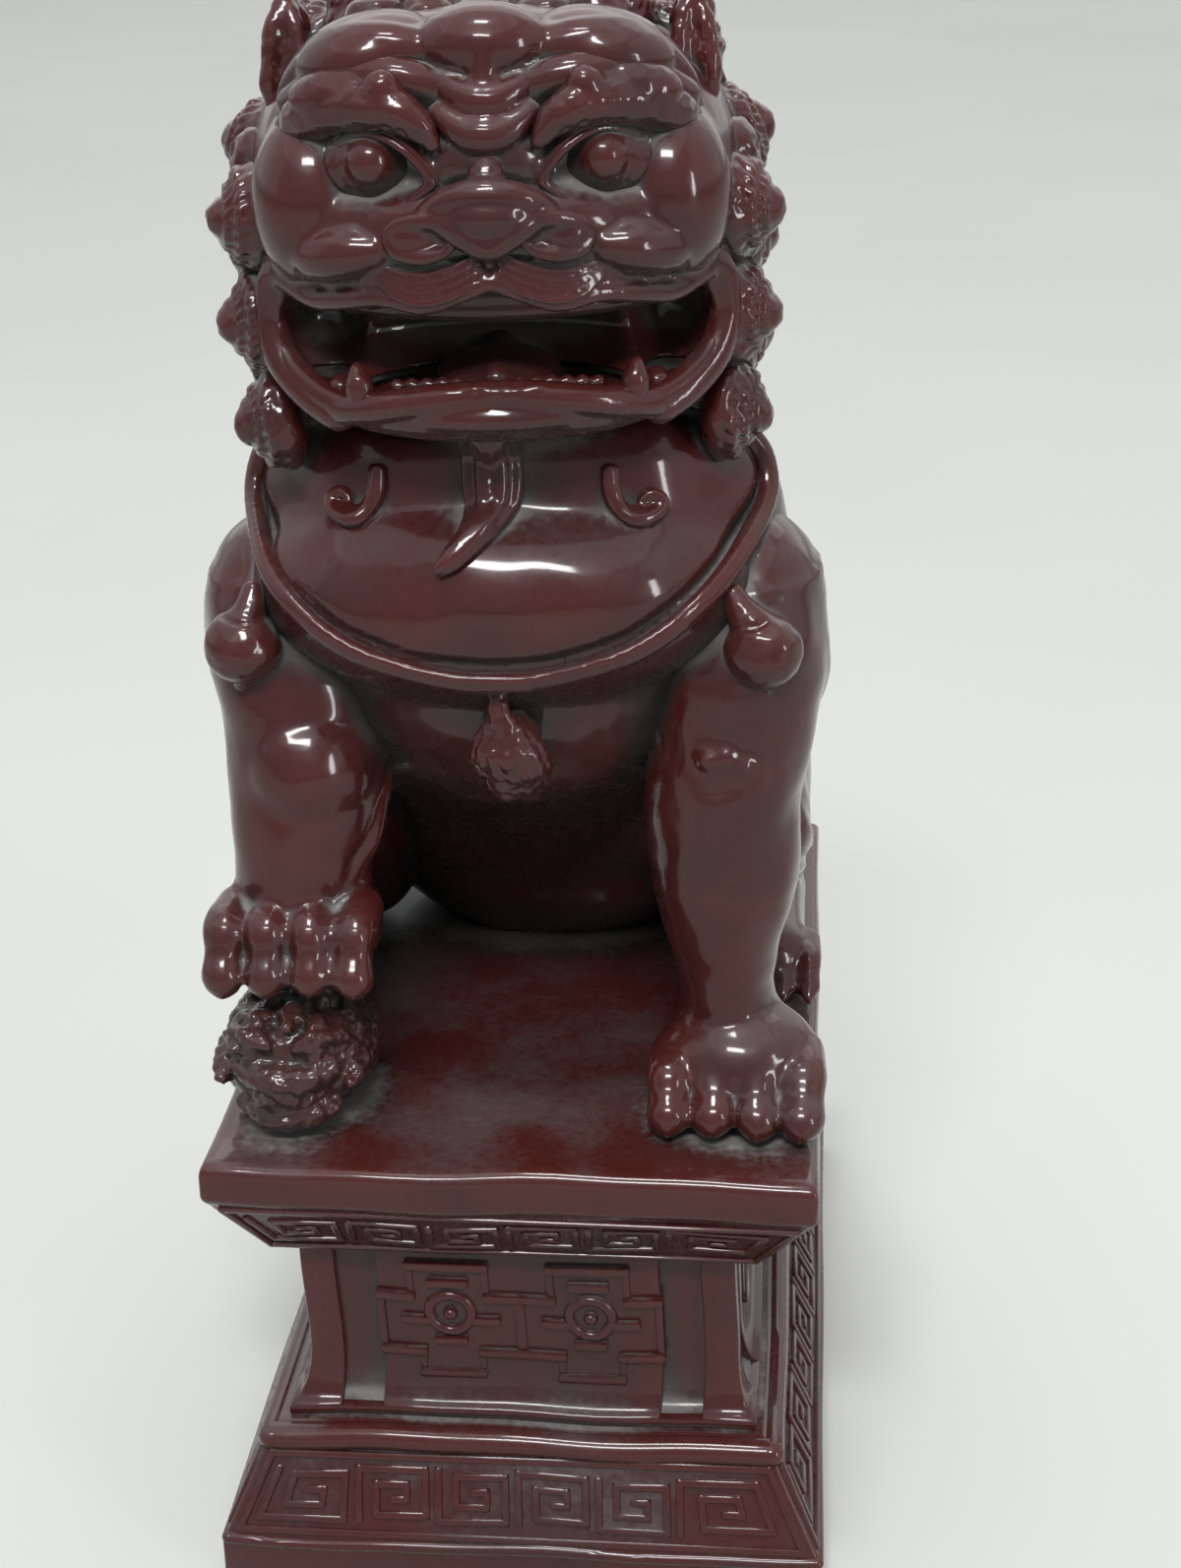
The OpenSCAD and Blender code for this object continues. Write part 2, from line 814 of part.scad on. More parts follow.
// Drop-shaped bell with a ring at its neck
module bell(grow = 0) {
    translate(bell_place - [0, 0, bell_h]) rotate_extrude($fn = 32) polygon(concat(
        [[0, -grow]],
        [for (a = [-75:15:60]) [(bell_r + grow) * cos(a), bell_r + (bell_r + grow) * sin(a)]],
        [[0.36 * bell_r + grow, bell_h - 1.6], [0.5 * bell_r + grow, bell_h - 0.8]],
        [[0.4 * bell_r + grow, bell_h + grow], [0, bell_h + grow]]
    ));
}

module bell_seats() {
    both_sides() bell(fit);
}

module left_bell() {
    color(LACQUER) on_dais() bell();
}

module right_bell() {
    color(LACQUER) on_dais() mirror([1, 0, 0]) bell();
}

// Knotted stem with a flame-shaped tassel
module tassel() {
    color(LACQUER) on_dais() difference() {
        union() {
            bar([0, -44, 65.5], 2.2, [0.5, -45, 61.5], 2, 8);
            swept([
                [0.5, -44, 62, 1.6], [0.8, -44.5, 59, 3.6], [1.4, -43.5, 55, 4.2], [2.2, -42, 51, 3.2],
                [2.8, -41, 48, 0.8]
            ], 8, 2);
            for (a = [-56:28:56]) bar([0.8 + 3.4 * sin(a), -44.5 - 2.4 * cos(a), 58], 1.4,
                [2 + 2.6 * sin(a), -42.5 - 2 * cos(a), 51.5], 1, 6);
            both_sides() bar([0.5, -45.4, 63], 1.6, [2.2, -45.2, 63.6], 1.2, 8);
        }
        torso();
        collar_shape();
    }
}

// Cub

// The cub lies on its back, held by the paw, with its face to the front
module cub() {
    color(PATINA) on_dais() above_dais() difference() {
        mirror([1, 0, 0]) translate([leg_x + 2, 0, 0]) {
            blob([0, -36, 8], [11, 13, 10], 12);
            blob([0, -43.5, 9.5], [10, 8.5, 9], 12);
            blob([0, -50.4, 8], [5.4, 3.6, 3.4], 10);
            blob([0, -51, 11.2], [2.4, 2, 1.6], 8);
            bar([-4.5, -49, 4.2], 2, [4.5, -49, 4.2], 2, 8);
            both_sides() {
                blob([4.6, -49.6, 12.6], [2.2, 1.8, 1.8], 8);
                for (a = [-25:48:119]) blob([9.4 * cos(a), -43, 9 + 8.4 * sin(a)], [2.8, 3.4, 2.8], 6);
                bar([8.5, -46, 3], 2.8, [7, -51, 2], 2.2, 6);
            }
        }
        mirror([1, 0, 0]) raised_leg();
    }
}

plinth();
waist();
dais();
body();
right_foreleg();
left_foreleg();
right_hind_leg();
left_hind_leg();
tail();
head();
lower_jaw();
tongue();
teeth();
nose();
forehead();
right_brow();
left_brow();
right_eye();
left_eye();
right_ear();
left_ear();
right_mane();
left_mane();
nape_mane();
crown_curls();
beard();
right_beard_curl();
left_beard_curl();
collar();
right_bell();
left_bell();
tassel();
cub();
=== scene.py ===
"""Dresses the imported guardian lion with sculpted, lacquered pieces, and sets the stage for its picture."""

import math

import bmesh
import bpy
import numpy as np
from mathutils import Euler, Matrix, Vector, noise
from mathutils.bvhtree import BVHTree


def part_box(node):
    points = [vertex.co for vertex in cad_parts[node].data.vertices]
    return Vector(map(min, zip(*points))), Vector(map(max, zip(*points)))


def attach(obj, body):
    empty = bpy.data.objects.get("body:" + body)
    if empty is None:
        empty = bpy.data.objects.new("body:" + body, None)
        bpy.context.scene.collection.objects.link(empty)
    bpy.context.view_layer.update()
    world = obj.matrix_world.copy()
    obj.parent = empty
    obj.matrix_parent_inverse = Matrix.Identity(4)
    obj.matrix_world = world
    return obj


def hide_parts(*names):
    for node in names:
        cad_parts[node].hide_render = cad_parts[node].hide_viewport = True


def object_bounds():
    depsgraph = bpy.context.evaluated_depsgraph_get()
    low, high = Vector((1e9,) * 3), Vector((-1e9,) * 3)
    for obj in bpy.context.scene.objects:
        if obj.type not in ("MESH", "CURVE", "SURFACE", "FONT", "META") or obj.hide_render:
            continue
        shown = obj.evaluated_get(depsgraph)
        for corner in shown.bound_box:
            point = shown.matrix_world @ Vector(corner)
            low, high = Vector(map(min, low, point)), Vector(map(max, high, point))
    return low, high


bl_info = {
    "name": "Guardian lion",
    "version": (1, 0, 0),
    "blender": (4, 5, 0),
    "location": "View3D > Sidebar > Lion",
    "description": "Sculpts a seated guardian lion and its pedestal round the packed solids",
    "category": "Object",
}

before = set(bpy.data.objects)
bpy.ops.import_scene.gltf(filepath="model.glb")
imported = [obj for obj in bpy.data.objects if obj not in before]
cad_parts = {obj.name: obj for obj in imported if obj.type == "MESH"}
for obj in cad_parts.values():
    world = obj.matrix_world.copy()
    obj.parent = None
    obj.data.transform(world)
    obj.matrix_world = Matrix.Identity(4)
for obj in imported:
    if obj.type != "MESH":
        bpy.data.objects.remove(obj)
CAD_BOX = [list(corner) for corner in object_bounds()]

MM = 0.001
DAIS_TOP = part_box("dais")[1].z / MM
WAIST_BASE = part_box("waist")[0].z / MM
WAIST_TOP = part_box("waist")[1].z / MM
PLINTH_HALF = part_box("plinth")[1].xy / MM
DAIS_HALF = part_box("dais")[1].xy / MM
BOTH = (1, -1)
# Width of the sculpted head against that of its solid
HEAD_SLIM = 0.95


# Sizes and colours


class LionSizes(bpy.types.PropertyGroup):
    """Sizes that shape the sculpted pieces."""

    head_turn: bpy.props.FloatProperty(
        name="Head turn", description="Turn of the head to the lion's left",
        default=math.radians(5), subtype="ANGLE")
    head_forward: bpy.props.FloatProperty(
        name="Head forward", description="Middle of the head ahead of the middle of the dais",
        default=24 * MM, unit="LENGTH")
    lip_height: bpy.props.FloatProperty(
        name="Lip height", description="Height of the upper lip above the dais",
        default=121 * MM, unit="LENGTH")
    curl_radius: bpy.props.FloatProperty(
        name="Curl radius", description="Radius of a mane curl", default=6.3 * MM, unit="LENGTH")
    edge_wave: bpy.props.FloatProperty(
        name="Edge wave", description="Waviness of the cast edges of the pedestal",
        default=0.28 * MM, unit="LENGTH")
    relief: bpy.props.FloatProperty(
        name="Relief", description="Height of the raised meander lines", default=0.75 * MM, unit="LENGTH")
    line_width: bpy.props.FloatProperty(
        name="Line width", description="Width of the raised meander lines", default=1.15 * MM, unit="LENGTH")


class LionColours(bpy.types.PropertyGroup):
    """Colours of the lacquer, of its patina and painted shade, of its dust and painted sheen, and of the
    stage.
    """

    lacquer: bpy.props.FloatVectorProperty(
        name="Lacquer", description="Red-brown of the lacquer on open surfaces",
        subtype="COLOR", size=3, min=0, max=1, default=(0.052, 0.0102, 0.009))
    shade: bpy.props.FloatVectorProperty(
        name="Shade", description="Darker brown patches of the lacquer",
        subtype="COLOR", size=3, min=0, max=1, default=(0.021, 0.0088, 0.0082))
    # Patina in the creases, and also the painted shade in creases, in sheltered places, on undersides and in
    # the mouth
    crease: bpy.props.FloatVectorProperty(
        name="Crease", description="Near-black patina in the creases",
        subtype="COLOR", size=3, min=0, max=1, default=(0.03, 0.026, 0.023))
    # Also the colour of the painted sheen on upward faces
    dust: bpy.props.FloatVectorProperty(
        name="Dust", description="Grey dust on ledges and between toes",
        subtype="COLOR", size=3, min=0, max=1, default=(0.2, 0.19, 0.185))
    floor: bpy.props.FloatVectorProperty(
        name="Floor", description="Pale floor of the stage",
        subtype="COLOR", size=3, min=0, max=1, default=(0.55, 0.56, 0.535))


def sizes():
    return bpy.context.scene.lion_sizes


def in_mm(length):
    """A property's length in millimetres, without the last digits that a property can't hold."""
    return round(length / MM, 4)


def colours():
    return bpy.context.scene.lion_colours


def on_dais():
    """Frame on the middle of the dais, in millimetres."""
    return Matrix.Translation((0, 0, DAIS_TOP))


def on_neck():
    """Frame of the head: turned about the upright line through its middle, at the height of the dais."""
    turn = Matrix.Rotation(sizes().head_turn, 4, "Z")
    middle = Matrix.Translation((0, -in_mm(sizes().head_forward), 0))
    return on_dais() @ middle @ turn @ Matrix.Diagonal((HEAD_SLIM, 1, 1, 1))


def on_face():
    """Frame of the face: x to the lion's left, y back, z up from the upper lip."""
    return on_neck() @ Matrix.Translation((0, -1.2, in_mm(sizes().lip_height)))


def sided(place, side):
    """A frame, or for side -1 its mirror image across its middle plane."""
    return place @ Matrix.Diagonal((side, 1, 1, 1))


def pair(kind):
    """Name and side of the right and the left one of two like pieces."""
    return (("right_" + kind, -1), ("left_" + kind, 1))


# Routes


def smooth_route(route, step):
    """Catmull-Rom points through a route of rows, about a step of length apart."""
    route = np.array(route, float)
    before = np.vstack([2 * route[0] - route[1], route[:-1]])
    after = np.vstack([route[1:], 2 * route[-1] - route[-2]])
    rows = []
    for i in range(len(route) - 1):
        a, b, c, d = before[i], route[i], route[i + 1], after[i + 1]
        count = max(2, int(np.linalg.norm((c - b)[:3]) / step))
        for t in np.arange(count) / count:
            rows.append(b + 0.5 * t * (c - a + t * (2 * a - 5 * b + 4 * c - d + t * (3 * b - a - 3 * c + d))))
    return np.vstack([rows, route[-1:]])


def spiral(turns, start, end, rise, radius, points=10):
    """Route of rows (x, y, z, radius) that winds inwards and rises."""
    rows = []
    for i in range(int(turns * points) + 1):
        t = i / (turns * points)
        a = 2 * math.pi * turns * t
        r = start + (end - start) * t
        rows.append((r * math.cos(a), r * math.sin(a), rise[0] + (rise[1] - rise[0]) * t,
                     radius[0] + (radius[1] - radius[0]) * t))
    return rows


def arch(half):
    """Route from side to side, from rows that start on the middle line."""
    return [(-x, *rest) for x, *rest in reversed(half[1:])] + list(half)


# Clay


def as_mesh(bm, name):
    """Hands a finished bmesh over as a mesh."""
    mesh = bpy.data.meshes.new(name)
    bm.to_mesh(mesh)
    bm.free()
    return mesh


def in_scene(name, data):
    """A new object with the data, in the scene."""
    made = bpy.data.objects.new(name, data)
    bpy.context.scene.collection.objects.link(made)
    return made


class Clay:
    """Lumps pressed together in millimetres, then fused into one skin."""

    def __init__(self, place=None):
        self.bm = bmesh.new()
        self.place = place or Matrix()
        self.rolls = []

    def ball(self, at, radii, turn=(0, 0, 0), sides=(1,), level=4):
        """An egg with three radii, turned by degrees."""
        for side in sides:
            turned = Euler([math.radians(a) for a in turn]).to_matrix().to_4x4()
            matrix = sided(self.place, side) @ Matrix.Translation(at) @ turned
            bmesh.ops.create_icosphere(
                self.bm, subdivisions=level, radius=1, matrix=matrix @ Matrix.Diagonal((*radii, 1)))

    def block(self, low, high):
        """A box between two corners."""
        middle = [(a + b) / 2 for a, b in zip(low, high)]
        span = [b - a for a, b in zip(low, high)]
        bmesh.ops.create_cube(
            self.bm, size=1, matrix=self.place @ Matrix.Translation(middle) @ Matrix.Diagonal((*span, 1)))

    def roll(self, route, sides=(1,), step=0.5):
        """A round roll through rows of (x, y, z, radius), with round ends."""
        rows = smooth_route(route, step)
        first, last = rows[0], rows[-1]
        ends = []
        for end, other in ((first, rows[1]), (last, rows[-2])):
            way = end[:3] - other[:3]
            way = way / np.linalg.norm(way)
            ends.append([np.append(end[:3] + way * end[3] * math.sin(a), end[3] * math.cos(a))
                         for a in (0.4, 0.8, 1.15, 1.45)])
        rows = np.vstack([ends[0][::-1], rows, ends[1]])
        for side in sides:
            flip = sided(self.place, side)
            self.rolls.append([(*(flip @ Vector(row[:3])), row[3]) for row in rows])

    def loft(self, stations, segments=48, step=3, press=None):
        """Elliptic sections (x, y, z, half width, half depth, lean in degrees), from the lowest up.

        The function press, where there is one, moves each point before the loft goes to its place."""
        rows = smooth_route(stations, step)
        bm = bmesh.new()
        ring = bmesh.ops.create_circle(bm, cap_ends=True, segments=segments, radius=1)["verts"]
        edges = bm.edges[:]
        before = Matrix()
        for i, row in enumerate(rows):
            lean = Matrix.Rotation(math.radians(row[5]), 4, "X")
            section = Matrix.Translation(row[:3]) @ lean @ Matrix.Diagonal((row[3], row[4], 1, 1))
            if i:
                made = bmesh.ops.extrude_edge_only(bm, edges=edges)["geom"]
                ring = [g for g in made if isinstance(g, bmesh.types.BMVert)]
                edges = [g for g in made if isinstance(g, bmesh.types.BMEdge)
                         and all(v in ring for v in g.verts)]
            bmesh.ops.transform(bm, matrix=section @ before.inverted(), verts=ring)
            before = section
        bmesh.ops.contextual_create(bm, geom=edges)
        bmesh.ops.recalc_face_normals(bm, faces=bm.faces[:])
        if press:
            for v in bm.verts:
                v.co = press(v.co)
        bm.transform(self.place)
        mesh = as_mesh(bm, "loft")
        self.bm.from_mesh(mesh)
        bpy.data.meshes.remove(mesh)

    def mesh(self):
        """The lumps and rolls as one mesh, still unfused."""
        if self.rolls:
            curve = bpy.data.curves.new("rolls", "CURVE")
            curve.dimensions = "3D"
            curve.bevel_depth = 1
            curve.bevel_resolution = 3
            curve.use_fill_caps = True
            for rows in self.rolls:
                spline = curve.splines.new("POLY")
                spline.points.add(len(rows) - 1)
                for point, row in zip(spline.points, rows):
                    point.co = (*row[:3], 1)
                    point.radius = row[3]
            holder = in_scene("rolls", curve)
            tubes = bpy.data.meshes.new_from_object(evaluated(holder))
            self.bm.from_mesh(tubes)
            bpy.data.objects.remove(holder)
            bpy.data.curves.remove(curve)
            bpy.data.meshes.remove(tubes)
            self.rolls = []
        bmesh.ops.recalc_face_normals(self.bm, faces=self.bm.faces[:])
        return as_mesh(self.bm, "clay")

    def fuse(self, voxel, passes, cut=None):
        """One skin over the lumps, with the clay in cut taken away, smoothed in so many passes."""
        holder = in_scene("clay", self.mesh())
        remesh(holder, voxel)
        knife = None
        if cut:
            knife = in_scene("cut", cut.mesh())
            remesh(knife, voxel)
            carve = holder.modifiers.new("cut", "BOOLEAN")
            carve.operation = "DIFFERENCE"
            carve.solver = "FAST"
            carve.object = knife
            remesh(holder, voxel)
        soften = holder.modifiers.new("soften", "SMOOTH")
        soften.iterations = passes
        soften.factor = 0.5
        mesh = bpy.data.meshes.new_from_object(evaluated(holder))
        for made in (holder, knife):
            if made:
                left = made.data
                bpy.data.objects.remove(made)
                bpy.data.meshes.remove(left)
        return mesh


def below_dais(height=0.0):
    """Clay to cut away: what lies lower than a height above the dais."""
    cut = Clay(on_dais())
    cut.block((-60, -70, -30), (60, 80, height))
    return cut


def evaluated(obj):
    """The object with its modifiers or its curve's thickness applied."""
    bpy.context.view_layer.update()
    return obj.evaluated_get(bpy.context.evaluated_depsgraph_get())


def remesh(obj, voxel):
    """Adds a modifier that fuses what overlaps."""
    skin = obj.modifiers.new("skin", "REMESH")
    skin.mode = "VOXEL"
    skin.voxel_size = voxel
    skin.use_smooth_shade = True


# Strokes on a finished skin


def points_of(mesh):
    co = np.empty(len(mesh.vertices) * 3, np.float32)
    mesh.vertices.foreach_get("co", co)
    return co.reshape(-1, 3).astype(float)


def normals_of(mesh):
    out = np.empty(len(mesh.vertices) * 3, np.float32)
    mesh.vertex_normals.foreach_get("vector", out)
    return out.reshape(-1, 3).astype(float)


def move_points(mesh, co):
    mesh.vertices.foreach_set("co", co.astype(np.float32).ravel())
    mesh.update()


def distance_to(co, rows):
    """Distance of each point to a route of points, and how far along the route it lies."""
    best = np.full(len(co), 1e9)
    along = np.zeros(len(co))
    for i in range(len(rows) - 1):
        a, way = rows[i], rows[i + 1] - rows[i]
        t = np.clip((co - a) @ way / max(way @ way, 1e-9), 0, 1)
        d = np.linalg.norm(co - a - t[:, None] * way, axis=1)
        near = d < best
        best[near] = d[near]
        along[near] = (i + t[near]) / (len(rows) - 1)
    return best, along


def joined(mesh, other):
    """Puts a second skin in the same mesh."""
    bm = bmesh.new()
    bm.from_mesh(mesh)
    bm.from_mesh(other)
    bm.to_mesh(mesh)
    bm.free()
    return mesh


def roughened(mesh, height, scale, seed):
    """Lumps a skin with noise along its normals, as in unfinished casting."""
    co, normal = points_of(mesh), normals_of(mesh)
    off = Vector((seed * 7.3, seed * 3.1, seed * 5.7))
    lumps = np.array([noise.noise(Vector(c) * scale + off) + 0.5 * noise.noise(Vector(c) * scale * 2.3 - off)
                      for c in co])
    move_points(mesh, co + normal * (height * lumps)[:, None])
    return mesh


class Strokes:
    """Grooves and ridges pressed along the normals of a skin, in the frame of the place."""

    def __init__(self, mesh, place):
        self.mesh = mesh
        self.place = place
        self.co = points_of(mesh)
        self.normal = normals_of(mesh)
        self.shift = np.zeros(len(self.co))

    def draw(self, route, width, height, sides=(1,), fade=True):
        """A ridge along a route of points, or a groove where the height is below zero."""
        for side in sides:
            flip = sided(self.place, side)
            rows = smooth_route([tuple(flip @ Vector(p)) for p in route], 0.8)
            inside = (self.co > rows.min(0) - width) & (self.co < rows.max(0) + width)
            near = np.flatnonzero(np.all(inside, axis=1))
            if not len(near):
                continue
            d, along = distance_to(self.co[near], rows)
            press = np.clip(1 - (d / width) ** 2, 0, 1) ** 2
            if fade:
                press = press * np.clip(np.minimum(along, 1 - along) * 6 + 0.25, 0, 1)
            deeper = np.abs(height * press) > np.abs(self.shift[near])
            self.shift[near[deeper]] = (height * press)[deeper]

    def done(self):
        """Presses all strokes into the skin."""
        move_points(self.mesh, self.co + self.normal * self.shift[:, None])
        return self.mesh


# Finishing a piece

PIECES = []


def make_piece(name, mesh, nodes, finish="lacquer", smooth=True):
    """Scales a mesh to metres and puts it on the lion in place of the named nodes."""
    mesh.transform(Matrix.Scale(MM, 4))
    mesh.name = name
    mesh.materials.clear()
    mesh.materials.append(lacquer(finish))
    mesh.shade_smooth()
    if not smooth:
        mesh.set_sharp_from_angle(angle=math.radians(38))
    piece = in_scene(name, mesh)
    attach(piece, "root")
    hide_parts(*nodes)
    PIECES.append(piece)


# Widths of the blur in millimetres: for pits and edges, for folds, and for sheltered places
GRID_SIGMA = (1.2, 3.4, 11.0)


def surface_samples(mesh, spacing):
    """Points spread over a mesh, each with the outward area it stands for, in millimetres."""
    mesh.calc_loop_triangles()
    tris = np.empty(len(mesh.loop_triangles) * 3, np.int32)
    mesh.loop_triangles.foreach_get("vertices", tris)
    corner = points_of(mesh)[tris.reshape(-1, 3)] / MM
    face = 0.5 * np.cross(corner[:, 1] - corner[:, 0], corner[:, 2] - corner[:, 0])
    count = np.maximum(1, (np.linalg.norm(face, axis=1) / spacing ** 2).astype(int))
    which = np.repeat(np.arange(len(corner)), count)
    draw = np.random.default_rng(7).random((len(which), 2))
    flip = draw.sum(1) > 1
    draw[flip] = 1 - draw[flip]
    draw[count[which] == 1] = 1 / 3
    c = corner[which]
    at = c[:, 0] + draw[:, :1] * (c[:, 1] - c[:, 0]) + draw[:, 1:] * (c[:, 2] - c[:, 0])
    return at, (face / count[:, None])[which]


def corner_cells(at, shape):
    """The eight grid cells round each point, and the share of each."""
    low = np.floor(at).astype(int)
    part = at - low
    for corner in np.ndindex(2, 2, 2):
        cell = np.clip(low + corner, 0, np.array(shape) - 1)
        yield cell, np.prod(np.abs(1 - np.array(corner) - part), axis=1)


def sampled(grid, at):
    """Values of a grid at points between its cells."""
    return sum(weight * grid[tuple(cell.T)] for cell, weight in corner_cells(at, grid.shape))


def solid_fields(low, shape):
    """How solid each cell of a one-millimetre grid is, blurred by each width.

    The outward areas of a closed skin are the slope of its solid, so their divergence gives the solid."""
    samples = [surface_samples(piece.data, 0.7) for piece in PIECES]
    at = np.concatenate([s[0] for s in samples]) - low
    face = np.concatenate([s[1] for s in samples])
    slope = np.zeros((3, int(np.prod(shape))))
    for cell, weight in corner_cells(at, shape):
        spot = np.ravel_multi_index(tuple(cell.T), shape)
        for axis in range(3):
            slope[axis] += np.bincount(spot, weight * face[:, axis], slope.shape[1])
    steps = [np.fft.fftfreq(shape[0]), np.fft.fftfreq(shape[1]), np.fft.rfftfreq(shape[2])]
    wave = np.meshgrid(*[2 * np.pi * step for step in steps], indexing="ij")
    square = sum(w * w for w in wave)
    spread = sum(1j * w * np.fft.rfftn(s.reshape(shape)) for w, s in zip(wave, slope))
    solid = np.fft.irfftn(spread / np.maximum(square, 1e-9), shape)
    union = np.fft.rfftn(np.clip(solid - solid[0, 0, 0], 0, 1))
    return [np.fft.irfftn(union * np.exp(-0.5 * s * s * square), shape) for s in GRID_SIGMA]


def share(value, low, high):
    """0 at low and under it, 1 at high and over it."""
    return np.clip((value - low) / (high - low), 0, 1)


def store_crease_crest_and_shelter():
    """Stores on every piece how deep in a crease, how far out on a crest and how sheltered each point lies.

    Half of what is near a point of a flat face is solid, more in a crease and less on a crest."""
    margin, lift = 16, 0.2
    low = np.array(CAD_BOX[0]) / MM - margin
    shape = tuple(int(n) for n in np.ceil(np.array(CAD_BOX[1]) / MM + margin - low) + 1)
    fields = solid_fields(low, shape)
    for piece in PIECES:
        at = points_of(piece.data) / MM + lift * normals_of(piece.data) - low
        fine, fold, wide = [sampled(field, at) for field in fields]
        # Crease feeds the patina, painted shade and dust; crest the wear; shelter the painted shade, thinner
        # coat and less dust of sheltered places
        values = {
            "crease": 0.55 * share(fine, 0.53, 0.77) + 0.75 * share(fold, 0.5, 0.74),
            "crest": 1 - share(fine, 0.15, 0.4),
            "shelter": share(wide, 0.5, 0.8),
        }
        for name, value in values.items():
            held = piece.data.attributes.new(name, "FLOAT", "POINT")
            held.data.foreach_set("value", np.clip(value, 0, 1).astype(np.float32))


# Materials


class Socket:
    """A node's output that adds Math nodes when it is used in an expression."""

    def __init__(self, tree, out):
        self.tree = tree
        self.out = out

    def math(self, operation, other=None, flip=False, clamp=False):
        values = [self] if other is None else ([other, self] if flip else [self, other])
        return self.tree.node("ShaderNodeMath", {"operation": operation, "use_clamp": clamp},
                              dict(enumerate(values)))

    def __add__(self, other):
        return self.math("ADD", other)

    __radd__ = __add__

    def __sub__(self, other):
        return self.math("SUBTRACT", other)

    def __rsub__(self, other):
        return self.math("SUBTRACT", other, True)

    def __mul__(self, other):
        return self.math("MULTIPLY", other)

    __rmul__ = __mul__

    def clamped(self):
        return self.math("ADD", 0.0, clamp=True)


class Shader:
    """Adds nodes to a material."""

    def __init__(self, name):
        self.material = bpy.data.materials.new(name)
        self.material.use_nodes = True
        self.nodes = self.material.node_tree.nodes
        self.links = self.material.node_tree.links
        self.nodes.clear()

    def node(self, kind, settings=None, inputs=None, output=0):
        """A new node with its settings and inputs, as the socket of one output."""
        made = self.nodes.new(kind)
        for key, value in (settings or {}).items():
            setattr(made, key, value)
        for key, value in (inputs or {}).items():
            if isinstance(value, Socket):
                self.links.new(value.out, made.inputs[key])
            else:
                made.inputs[key].default_value = value
        return Socket(self, made.outputs[output])

    def noise(self, at, scale, detail=2.0):
        return self.node("ShaderNodeTexNoise", None, {"Vector": at, "Scale": scale, "Detail": detail})

    def span(self, value, low, high):
        """0 below low, 1 above high."""
        return self.node("ShaderNodeMapRange", {"interpolation_type": "SMOOTHSTEP", "clamp": True},
                         {"Value": value, "From Min": low, "From Max": high})

    def mix(self, factor, a, b):
        """A colour mixed from two colours."""
        first, second = [(*c, 1) if isinstance(c, tuple) else c for c in (a, b)]
        return self.node("ShaderNodeMix", {"data_type": "RGBA"}, {0: factor, 6: first, 7: second}, output=2)

    def output(self, surface):
        end = self.nodes.new("ShaderNodeOutputMaterial")
        self.links.new(surface.out, end.inputs["Surface"])
        return self.material


FINISHES = {
    # Shares of darker patches, of dust and painted sheen and of bumps, roughness, and extra darkness towards
    # the crease colour
    "lacquer": (0.5, 0.75, 1.0, 0.28, 0.0),
    "pedestal": (0.55, 1.0, 1.3, 0.28, 0.0),
    "carving": (0.6, 0.5, 1.8, 0.26, 0.05),
    # Inside the mouth the full share of darker patches and the extra darkness are painted shade
    "mouth": (1.0, 0.2, 1.4, 0.34, 0.1),
    "rough": (1.0, 0.5, 3.0, 0.26, 0.3),
}


